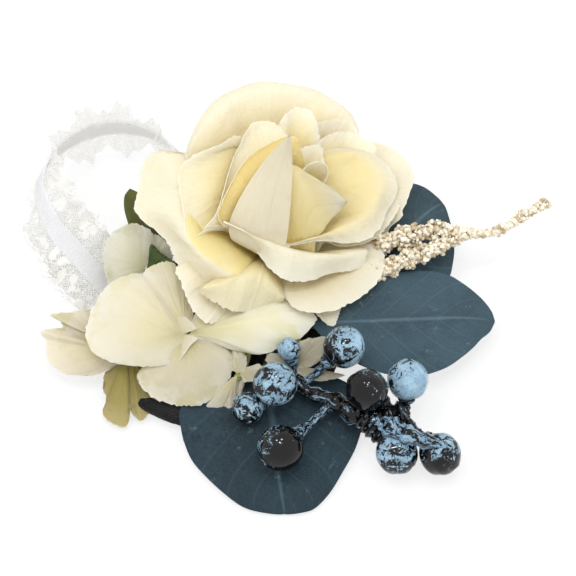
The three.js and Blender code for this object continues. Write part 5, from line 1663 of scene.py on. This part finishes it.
BLADES = (
    Blade(
        "leaf_front",
        over((262, 372, 6.4), (222, 380, 6), (190, 397, 5), (179.8, 412, 4.2), (180, 424, 3.6),
        (183.8, 440.1, 2.8), (191.5, 459.2, 2.2), (204.9, 476.4, 1.8), (224, 493.7, 1.6),
        (243.1, 507, 1.4), (262.3, 512.8, 1.2), (284, 514.4, 1)),
        over((264, 372, 6.4), (310, 372, 6.4), (348, 384, 5.6), (361, 402, 4.8), (364, 418, 4),
        (360.8, 432.4, 3.2), (354.1, 451.6, 2.4), (342.6, 472.6, 1.9), (329.2, 493.7, 1.6),
        (313.9, 509, 1.4), (302.4, 512.8, 1.2), (284, 514.4, 1)),
        (0.9, -0.6, -0.3),
    ),
    Blade(
        "leaf_right",
        over((310, 322, 12.4), (332, 300, 13), (356, 284, 13), (381.3, 275.3, 12.4), (394.5, 272.4, 12),
        (412.1, 270.9, 11.6), (432.7, 272.4, 11), (449.6, 276.8, 10.4), (459.1, 282, 10),
        (470.8, 290, 9.4), (482.6, 300.3, 8.8), (491.4, 312, 8), (494.3, 321.5, 7.4)),
        over((310, 324, 12.4), (330, 345, 11.6), (350, 360, 10.8), (372, 370, 10), (395, 374.6, 9.4),
        (412, 375.6, 9), (429.7, 373.6, 8.6), (447.3, 367.8, 8.2), (462, 357.5, 8), (473.8, 347.2, 7.8),
        (481.1, 339.2, 7.6), (489.9, 332, 7.4), (494.3, 322.5, 7.4)),
        (0.9, 0.1, -0.5),
    ),
    Blade(
        "leaf_back",
        over((330, 280, 9), (342, 240, 8.8), (358, 206, 8.4), (378, 188, 8), (396, 183, 7.6),
        (413.6, 184.4, 7.2), (425.4, 188.8, 6.8), (437.1, 197.6, 6.4), (443, 204, 6)),
        over((332, 284, 9), (372, 300, 8.8), (410, 298, 8.4), (436, 288, 8), (449.1, 276.8, 7.6),
        (452.6, 264, 7.2), (454, 250, 6.9), (452, 232, 6.6), (449.6, 221.1, 6.4), (445.9, 209.3, 6.1),
        (443, 204, 6)),
        (0.9, 0.6, 0),
    ),
    Blade(
        "rose_leaf",
        (
            (-16.5, 10, 11.5), (-21, 17, 13), (-26, 27, 15), (-29.4, 36, 16.5), (-30, 42, 17),
            (-28.5, 45.5, 17),
        ),
        (
            (-16.5, 10, 11.5), (-15, 19, 13), (-17, 29, 15), (-21, 38, 16.5), (-25, 43, 17),
            (-28.5, 45.5, 17),
        ),
        (-0.9, 0.4, 0.6),
    ),
)

@dataclass(frozen=True)
class Foliage:
    """The eucalyptus leaves and the rose leaf, each on its wire."""

    thick: float = 0.5
    wire_radius: float = 1.0

    def build(self) -> None:
        """Makes each blade and the wire under its midrib."""
        # Lit and shaded copies of one blue leaf cloth: the dusty one is lighter for the light on the right
        # and back leaves, the deep one darker as painted shade of the berries over the front leaf.
        teal = LeafFinish("dusty_blue_leaf", (50, 72, 82), (34, 53, 62), (96, 118, 128)).material()
        deep = LeafFinish("deep_blue_leaf", (29, 48, 58), (20, 35, 43), (80, 102, 112)).material()
        olive = LeafFinish("olive_leaf", (92, 96, 44), (62, 66, 28), (132, 130, 70), 0.1).material()
        wire = PlainFinish("wrapped_wire", (84, 96, 60), (58, 68, 42), 0.7).material()
        looks = {"rose_leaf": (olive, Slot.GREEN), "leaf_front": (deep, Slot.TEAL)}
        for blade in BLADES:
            grid = blade.grid()
            cloth, slot = looks.get(blade.name, (teal, Slot.TEAL))
            stand(blade.name + "_blade", sheet(grid, self.thick), cloth, (blade.name,))
            middle = grid[:, grid.shape[1] // 2]
            under = middle[[0, 12, 24]] - UP * (self.wire_radius + self.thick)
            under[:, 2] = np.maximum(under[:, 2], self.wire_radius + 0.1)
            stalk = tube(spline([bundle_point(blade.root), *under], 28), self.wire_radius, 8)
            stand(blade.name + "_stalk", stalk, wire, (blade.name + "_wire",))


# The berry spray


@dataclass(frozen=True)
class Berry:
    """One berry: its place, its size as a share of the usual one, the knot of the stem that its twig
    leaves, how much of its paint is gone, and the side that keeps most of it."""

    at: Point
    size: float
    knot: int
    bare: float
    painted: Point


BERRIES = (
    Berry(over((344, 347, 19))[0], 1, 1, 0.5, (0.8, 0.3, 0.3)),
    Berry(over((275, 384, 16))[0], 1.04, 1, 0.47, (0.2, 0.1, -0.1)),
    Berry(over((248, 408, 10.4))[0], 0.76, 1, 0.5, (0.4, 0.3, 0.2)),
    Berry(over((280.5, 448, 10.8))[0], 1.07, 2, 0.56, (-0.5, 0.7, -0.3)),
    Berry(over((367, 390, 19))[0], 1, 4, 0.565, (0.6, 0.6, -0.4)),
    Berry(over((407.5, 380, 15.8))[0], 0.98, 4, 0.42, (0.8, -0.2, 0)),
    Berry(over((396.5, 453, 8))[0], 1, 3, 0.5, (0, 0.5, 0.5)),
    Berry(over((440, 454, 8))[0], 1, 4, 0.53, (0, 0.6, 0.4)),
    Berry(over((289, 349, 16))[0], 0.54, 1, 0.46, (0, 0, 0)),
)

@dataclass(frozen=True)
class Spur:
    """A moulded spur of the stem: its route with its radii at even steps, and how much more of its
    paint is left than elsewhere."""

    route: Route
    radii: tuple[float, ...]
    painted: float

    def shape(self) -> Shape:
        """The spur as a lumpy tube of changing radius."""
        run = np.linspace(0, 1, 40)
        steps = len(self.radii)
        lumps = 1 + 0.16 * waves(run, steps, (5.0, 11.0, 19.0))
        wide = np.interp(run, np.linspace(0, 1, steps), self.radii) * lumps
        return tube(spline(self.route, 40), wide, 14).toned(self.painted)


@dataclass(frozen=True)
class BerrySpray:
    """Painted foam berries on the twigs of one moulded stem."""

    radius: float = 6.1
    stem_radius: float = 2.0
    twig_radius: float = 1.3
    root: Point = (0.9, -0.1, 0.1)
    route: Route = ((16, -2, 10), (23, -20, 10), (33, -25, 10), (43, -32, 10.5), (53.5, -31, 11))
    spurs: tuple[Spur, ...] = (
        Spur(
            (
                (41, -31, 10.5), (47.5, -34.6, 12.6), (51.6, -37.5, 13.6), (56.6, -39.8, 14.2),
                (60.5, -40.9, 14), (66, -41.8, 12.4),
            ),
            (2.2, 2.9, 3.2, 2.6, 1.9, 0.9),
            0.6,
        ),
        Spur(
            ((39, -29.5, 10.5), (43, -30.6, 11), (47.6, -30.8, 11.4), (51, -30, 12), (53.8, -29.4, 12.4)),
            (2.2, 3.4, 3.7, 3.2, 2.6),
            -0.2,
        ),
        Spur(
            ((41, -31, 10.5), (44, -34.5, 11), (46.6, -37.5, 10.6), (48.6, -39.4, 10)),
            (2.4, 2.8, 2.6, 2),
            -0.2,
        ),
    )

    def build(self) -> None:
        """Makes the berries and their stem."""
        stem = [bundle_point(self.root), *[np.array(p, float) for p in self.route]]
        for number, berry in enumerate(BERRIES, 1):
            self.build_berry(number, berry, stem[berry.knot + 1])
        self.build_stem(stem)

    def build_berry(self, number: int, berry: Berry, knot: np.ndarray) -> None:
        """A berry: a turned ball, a little dented by slow waves, with a ringed scar at its far end.

        Args:
            number: Its number in the spray.
            berry: Its place and its paint.
            knot: Where its twig leaves the stem.
        """
        centre = np.array(berry.at, float)
        turn = np.linspace(-math.pi / 2, math.pi / 2, 34)
        profile = np.stack([np.cos(turn), np.sin(turn)], axis=1)
        scar = np.exp(-((profile[:, 0] - 0.24) ** 2) / 0.004) * (profile[:, 1] > 0)
        pit = np.exp(-(profile[:, 0] ** 2) / 0.02) * (profile[:, 1] > 0)
        profile[:, 1] += 0.05 * scar - 0.1 * pit
        profile[[0, -1], 0] = 0
        ball = turned(profile, 44)
        grain = np.sin(ball.corners @ np.array([3.1, 2.3, 1.7]) * (1 + 0.2 * number) + number)
        ball.corners = ball.corners * (1 + 0.018 * grain[:, None]) * self.radius * berry.size
        ball = ball.put(Place(tuple(centre), tuple(centre - knot)))
        ball.tone = unit(ball.corners - centre) @ np.array(berry.painted)
        paint = PaintFinish(f"berry_paint_{number}", berry.bare, 340.0, 0.013 * number).material()
        stand(f"berry_{number}_painted", ball, paint, (f"berry_{number}",), sharp=180)

    def build_stem(self, stem: list[np.ndarray]) -> None:
        """The moulded stem: a lumpy tube through the knots, and one twig to each berry that swells
        into a cup where it meets the berry."""
        run = np.linspace(0, 1, 110)
        lumps = 1 + 0.13 * waves(run, 5, (9.0, 17.0, 31.0))
        swell = 1 + 0.5 * np.exp(-((run - 0.7) ** 2) / 0.02)
        main = tube(spline(stem, 110), self.stem_radius * lumps * swell, 14).toned(0.0)
        twigs = []
        for number, berry in enumerate(BERRIES, 1):
            start, centre = stem[berry.knot + 1], np.array(berry.at, float)
            end = centre - unit(centre - start) * self.radius * berry.size * 0.93
            knee = (start + end) / 2 - UP * self.twig_radius
            run = np.linspace(0, 1, 34)
            cup = 0.9 * smooth((run - 0.72) / 0.28)
            wide = self.twig_radius * (1 + cup + 0.12 * waves(run, number, (3.0, 7.0, 13.0)))
            twig = tube(spline([start, knee, end], 34), wide, 12)
            twigs.append(twig.toned(0.5 if berry.knot < 3 else 0.0))
        spurs = [spur.shape() for spur in self.spurs]
        paint = PaintFinish("stem_paint", 0.545, 420.0, 0.4, True, (140, 172, 196)).material()
        stand("berry_stem_moulding", joined([main, *twigs, *spurs]), paint, ("berry_spray_stem",))


# The sprig


@dataclass(frozen=True)
class Strand:
    """A strand of the sprig: its wire's route, how many crumbs it carries and how far they reach
    from the wire at even steps along it, in millimetres."""

    name: str
    crumbs: int
    reaches: tuple[float, ...]
    route: Route


STRANDS = (
    Strand(
        "sprig_upper_strand", 2000,
        (2.6, 3.4, 3.9, 3.4, 1.5, 1.4, 1.8, 1.6),
        over((352, 262, 13), (376, 247, 14.4), (398, 238, 15.4), (420, 233, 16), (440, 231, 16),
        (459, 232, 15.8), (477, 234, 15.4), (493, 232, 15), (506, 227, 14.6), (521, 217, 14),
        (535.4, 209, 13.6), (548.6, 202, 13)),
    ),
    Strand(
        "sprig_lower_strand", 1400,
        (2.8, 3.6, 3.6, 3, 1.8),
        over((352, 282, 12.4), (370, 276, 12.8), (386, 269, 13.4), (402, 262, 14), (418, 255, 14.4),
        (433, 249, 14.6), (446, 243, 14.8), (457, 238, 15), (465, 235, 15)),
    ),
)

@dataclass(frozen=True)
class Sprig:
    """The filler sprig: two wires crusted with foam crumbs."""

    wire_radius: float = 0.6
    first_seed: int = 40
    start: float = 0.12
    crumb: tuple[float, float] = (0.42, 1.0)
    roughness: tuple[float, float] = (0.62, 1.25)

    def build(self) -> None:
        """Makes both strands."""
        material = GrainFinish().material()
        for number, strand in enumerate(STRANDS):
            line = spline(strand.route, 240)
            wire = tube(line, self.wire_radius, 8).toned(0.2)
            made = joined([wire, self.crumbs(line, strand, number)])
            stand(strand.name + "_crumbs", made, material, (strand.name,), sharp=180)

    @staticmethod
    def lump() -> tuple[np.ndarray, np.ndarray]:
        """A ball of twelve corners and twenty triangles: the corners of three golden rectangles, each
        joined to its nearest ones."""
        gold = (1 + math.sqrt(5)) / 2
        signs = [(a, b * gold) for a in (-1, 1) for b in (-1, 1)]
        turns = [[(0, a, b) for a, b in signs], [(a, b, 0) for a, b in signs], [(b, 0, a) for a, b in signs]]
        lump = unit(np.concatenate(turns))
        near = np.linalg.norm(lump[:, None] - lump[None], axis=2) < 1.2
        trios = combinations(range(len(lump)), 3)
        faces = np.array([(i, j, k) for i, j, k in trios if near[i, j] and near[j, k] and near[i, k]])
        edges = lump[faces[:, 1:]] - lump[faces[:, :1]]
        outward = np.sum(np.cross(edges[:, 0], edges[:, 1]) * lump[faces[:, 0]], axis=1)
        faces[outward < 0] = faces[outward < 0][:, ::-1]
        return lump, faces

    def crumbs(self, line: np.ndarray, strand: Strand, number: int) -> Shape:
        """Crumbs about a wire: one rough lump, repeated at random places, turns and sizes.

        Args:
            line: Places along the wire.
            strand: The strand that they belong to.
            number: The strand's number, which starts the random numbers.

        Returns:
            One shape of them all.
        """
        random = np.random.default_rng(self.first_seed + number)
        lump, faces = self.lump()
        count = strand.crumbs
        share = np.sort(random.uniform(self.start, 1, count))
        index = (share * (len(line) - 1)).astype(int)
        forward = unit(np.gradient(line, axis=0))[index]
        spin = random.normal(size=(count, 3))
        aside = unit(spin - forward * np.sum(spin * forward, axis=1, keepdims=True))
        clump = 0.8 + 0.2 * waves(share, 8 + number, (7.0, 13.0, 19.0))
        widest = np.interp(share, np.linspace(0, 1, len(strand.reaches)), strand.reaches)
        reach = widest * clump * random.uniform(0.2, 1, count)
        centres = line[index] + aside * reach[:, None]
        size = random.uniform(*self.crumb, count) * (1 - 0.2 * share)
        bumpy = lump[None] * random.uniform(*self.roughness, (count, len(lump), 1))
        corners = centres[:, None] + bumpy * size[:, None, None]
        every = (faces[None] + len(lump) * np.arange(count)[:, None, None]).reshape(-1, 3)
        tone = np.repeat(random.uniform(0, 1, count), len(lump))
        return Shape(corners.reshape(-1, 3), [every], np.zeros((len(tone), 2)), tone)


# The wristlet


@dataclass(frozen=True)
class Wristlet:
    """The loop of gathered lace with an elastic along it, whose ends are sewn flat under the pad.
    Leans are how far the band leans in from upright at even steps along it, in degrees."""

    fold_middle: Point = (-14.0, 20.0, 0.0)
    fold_azimuth: float = 37.0
    fold_half: float = 17.0
    lace_width: float = 25.0
    lace_thick: float = 0.3
    elastic_width: float = 6.0
    elastic_thick: float = 0.8
    elastic_gap: float = 0.15
    ruffle_depth: float = 2.2
    ruffles: int = 11
    scallops: int = 30
    rows: int = 520
    loop: tuple[tuple[float, float], ...] = (
        (-43, 26.5), (-52, 37), (-56, 50), (-50.5, 62), (-38, 69.5), (-24, 68), (-13, 59), (-8, 48),
    )
    leans: tuple[float, ...] = (90, 89, 64, 42, 26, 8, 0, 5, 22, 52, 87, 90)
    patch_half: tuple[float, float] = (26.1, 10.0)
    patch_start: float = 0.3
    patch_length: float = 23.7
    patch_height: float = 0.95
    patch_thick: float = 1.6

    def axes(self) -> tuple[np.ndarray, np.ndarray]:
        """The directions along the fold line and out of it."""
        turn = math.radians(self.fold_azimuth)
        along = np.array([math.cos(turn), math.sin(turn), 0.0])
        return along, np.array([-along[1], along[0], 0.0])

    def frames(self) -> tuple[np.ndarray, ...]:
        """The band at each row: its middle, its directions across and out, and how free it is.

        The band leans from upright toward the loop's inside, so that it comes down flat at both
        ends, and stands on its lower edge between them.
        """
        along, out = self.axes()
        ends = [np.array(self.fold_middle) + side * self.fold_half * along for side in (-1, 1)]
        step = out * self.lace_width / 4
        loop = [np.array([x, y, 0.0]) for x, y in self.loop]
        line = spline([ends[0], ends[0] + step, *loop, ends[1] + step, ends[1]], self.rows)
        share = np.linspace(0, 1, self.rows)
        tangent = unit(np.gradient(line, axis=0))
        inward = unit(np.stack([tangent[:, 1], -tangent[:, 0], 0 * share], axis=1))
        lean = np.radians(np.interp(share, np.linspace(0, 1, len(self.leans)), self.leans))[:, None]
        across = np.cos(lean) * UP + np.sin(lean) * inward
        outward = np.sin(lean) * UP - np.cos(lean) * inward
        free = smooth(np.minimum(1, np.minimum(share, 1 - share) * len(self.leans) / 2))
        line[:, 2] = 0.35 + self.lace_width / 2 * np.cos(lean[:, 0]) + self.ruffle_depth * free
        return line, across, outward, free

    def build(self) -> None:
        """Makes the lace, the elastic and the sewn ends. The lace is flat across its width, scalloped
        at its rims, and pushed out by two waves along it that grow toward the rims."""
        line, across, outward, free = self.frames()
        share = np.linspace(0, 1, self.rows)
        t = np.linspace(-1, 1, 49)
        phase = self.ruffles * share[:, None] + np.where(t > 0, 0.5, 0.0)
        wave = np.sin(2 * math.pi * phase) + 0.45 * np.sin(2 * math.pi * (3.1 * phase + 0.2 * t))
        scallop = 1 - 0.1 * np.abs(np.sin(math.pi * self.scallops * share)) * free
        reach = (0.75 + 0.25 * free) * scallop * self.lace_width / 2
        push = self.ruffle_depth * free[:, None] * wave * np.abs(t) ** 1.6
        aside = (reach[:, None] * t)[..., None] * across[:, None]
        lace = line[:, None] + aside + push[..., None] * outward[:, None]
        lace[..., 2] = np.maximum(lace[..., 2], 0.2)
        length = float(np.linalg.norm(np.diff(lace[:, 4], axis=0), axis=1).sum())
        white = LaceFinish(length, self.lace_width).material()
        shape = sheet(lace, self.lace_thick)
        band = stand("lace_band", shape, white, ("lace_ruffle",), Body.WRISTLET, 180)
        lift = self.lace_thick / 2 + self.elastic_gap + self.elastic_thick / 2
        aside = (self.elastic_width / 2 * np.linspace(-1, 1, 9))[:, None] * across[:, None]
        shape = sheet(line[:, None] + aside + (lift * outward)[:, None], self.elastic_thick)
        satin = ElasticFinish().material()
        elastic = stand("elastic_strip", shape, satin, ("wrist_elastic",), Body.WRISTLET)
        self.build_ends()

    def build_ends(self) -> None:
        """The sewn ends: a patch from both ends of the loop, gathered under the pad."""
        along, out = self.axes()
        s, t = np.linspace(0, 1, 24)[:, None, None], np.linspace(-1, 1, 40)[:, None]
        broad, narrow = self.patch_half
        wide = broad + (narrow - broad) * s
        back = self.patch_start + self.patch_length * s
        grid = np.array(self.fold_middle) - out * back + along * wide * t + UP * self.patch_height
        grid[..., 2] += 0.1 * np.sin(grid[..., 0] * 2.4)
        patch = PlainFinish("sewn_lace_ends", (244, 244, 242), (226, 226, 226), 0.75, 90.0, 500.0, 0.0004)
        shape = sheet(grid[::-1], self.patch_thick)
        piece = stand("band_ends_patch", shape, patch.material(), ("band_glued_ends",))


# The stage


@dataclass(frozen=True)
class Lamp:
    """A square lamp that faces the corsage. Glossy pieces show only the mirrored ones."""

    name: str
    place: Point
    size: float
    power: float
    colour: Point = (1.0, 1.0, 1.0)
    mirrored: bool = False
    aim: Point = (0.0, 0.0, 0.02)

    def build(self) -> None:
        """Hangs the lamp."""
        data = bpy.data.lights.new(self.name, "AREA")
        data.size, data.energy, data.color = self.size, self.power, self.colour
        lamp = bpy.data.objects.new(self.name, data)
        lamp.location = self.place
        lamp.visible_glossy = self.mirrored
        away = unit(np.array(self.place) - self.aim)
        lamp.rotation_euler = (math.acos(away[2]), 0, math.atan2(away[0], -away[1]))
        bpy.context.scene.collection.objects.link(lamp)


def seen_directly(nodes: Nodes) -> Socket:
    """1 for what the camera, mirrors and glass show, and 0 for the light that falls on pieces."""
    rays = nodes.add("ShaderNodeLightPath").outputs
    return nodes.most(nodes.most(rays["Is Camera Ray"], rays["Is Transmission Ray"]), rays["Is Glossy Ray"])


@dataclass(frozen=True)
class Studio:
    """Camera, lamps, white floor and backdrop."""

    elevation: float = PHOTO_ELEVATION
    distance: float = 0.6
    lens: float = 125.0
    sensor: float = 36.0
    aim: tuple[float, float] = (19.8, 17.1)
    world_light: float = 0.94
    floor_half: float = 3.0
    floor_depth: float = 5e-5
    floor_clear: float = 0.72
    lamps: tuple[Lamp, ...] = (
        Lamp("key", (-0.55, -0.25, 1.1), 0.7, 2.6, (1.0, 0.995, 0.99)),
        Lamp("fill", (0.9, -0.5, 0.8), 0.9, 2.7, (0.99, 0.995, 1.0)),
        Lamp("ceiling_spot_0", (-0.24, 0.02, 0.95), 0.085, 1.0, mirrored=True),
        Lamp("ceiling_spot_1", (0.14, 0.06, 0.95), 0.085, 1.0, mirrored=True),
        Lamp("ceiling_spot_2", (0.02, -0.2, 0.95), 0.085, 1.0, mirrored=True),
    )

    def build(self) -> None:
        """Makes the camera, the lamps, the world and the floor."""
        bpy.context.scene.view_settings.view_transform = "Standard"
        self.build_camera()
        for lamp in self.lamps:
            lamp.build()
        self.build_world()
        self.build_floor()

    def build_camera(self) -> None:
        """The camera, which looks down at the corsage as the photograph's does."""
        rise = math.radians(self.elevation)
        right, up = self.aim
        target = PAD_MIDDLE + MM * np.array([right, up * math.sin(rise), up * math.cos(rise)])
        camera = bpy.data.cameras.new("camera")
        camera.lens, camera.sensor_width = self.lens, self.sensor
        camera.clip_start, camera.clip_end = 0.01, 20.0
        eye = bpy.data.objects.new("camera", camera)
        eye.location = target + self.distance * np.array([0, -math.cos(rise), math.sin(rise)])
        eye.rotation_euler = (math.pi / 2 - rise, 0, 0)
        bpy.context.scene.collection.objects.link(eye)
        bpy.context.scene.camera = eye

    def build_world(self) -> None:
        """A plain world: soft light for the pieces and white for the camera."""
        world = bpy.data.worlds.new("studio")
        bpy.context.scene.world = world
        world.use_nodes = True
        nodes = Nodes(world.node_tree)
        soft = {"Color": (0.97, 0.985, 1.0, 1.0), "Strength": self.world_light}
        soft = nodes.add("ShaderNodeBackground", soft)
        white = nodes.add("ShaderNodeBackground", {"Color": (1.0, 1.0, 1.0, 1.0), "Strength": 1.0})
        mixed = nodes.blend(seen_directly(nodes), soft, white)
        nodes.add("ShaderNodeOutputWorld", {"Surface": mixed.outputs[0]})

    def build_floor(self) -> None:
        """A white floor: thin paper that keeps a soft shadow. The camera sees the white world through
        it, and the loop too where it swings down under the table."""
        half, low = self.floor_half, -self.floor_depth
        corners = [(x * half, y * half, low) for x, y in ((-1, -1), (1, -1), (1, 1), (-1, 1))]
        page = bpy.data.meshes.new("floor")
        page.from_pydata(corners, [], [(0, 1, 2, 3)])
        floor = bpy.data.objects.new("floor", page)
        bpy.context.scene.collection.objects.link(floor)
        material, nodes = start_material("white_paper")
        clear = nodes.times(seen_directly(nodes), self.floor_clear)
        paper = nodes.face({"Base Color": (0.86, 0.86, 0.86, 1.0), "Roughness": 0.9})
        nodes.end(nodes.blend(clear, paper, nodes.add("ShaderNodeBsdfTransparent")))
        floor.data.materials.append(material)


def main() -> None:
    """Builds every sub-assembly in order."""
    logging.basicConfig(level=logging.INFO, format="%(name)s %(message)s")
    Studio().build()
    for part in (Backing(), Rose(), Florets(), Foliage(), BerrySpray(), Sprig(), Wristlet()):
        part.build()
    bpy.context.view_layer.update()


if __name__ == "__main__":
    main()
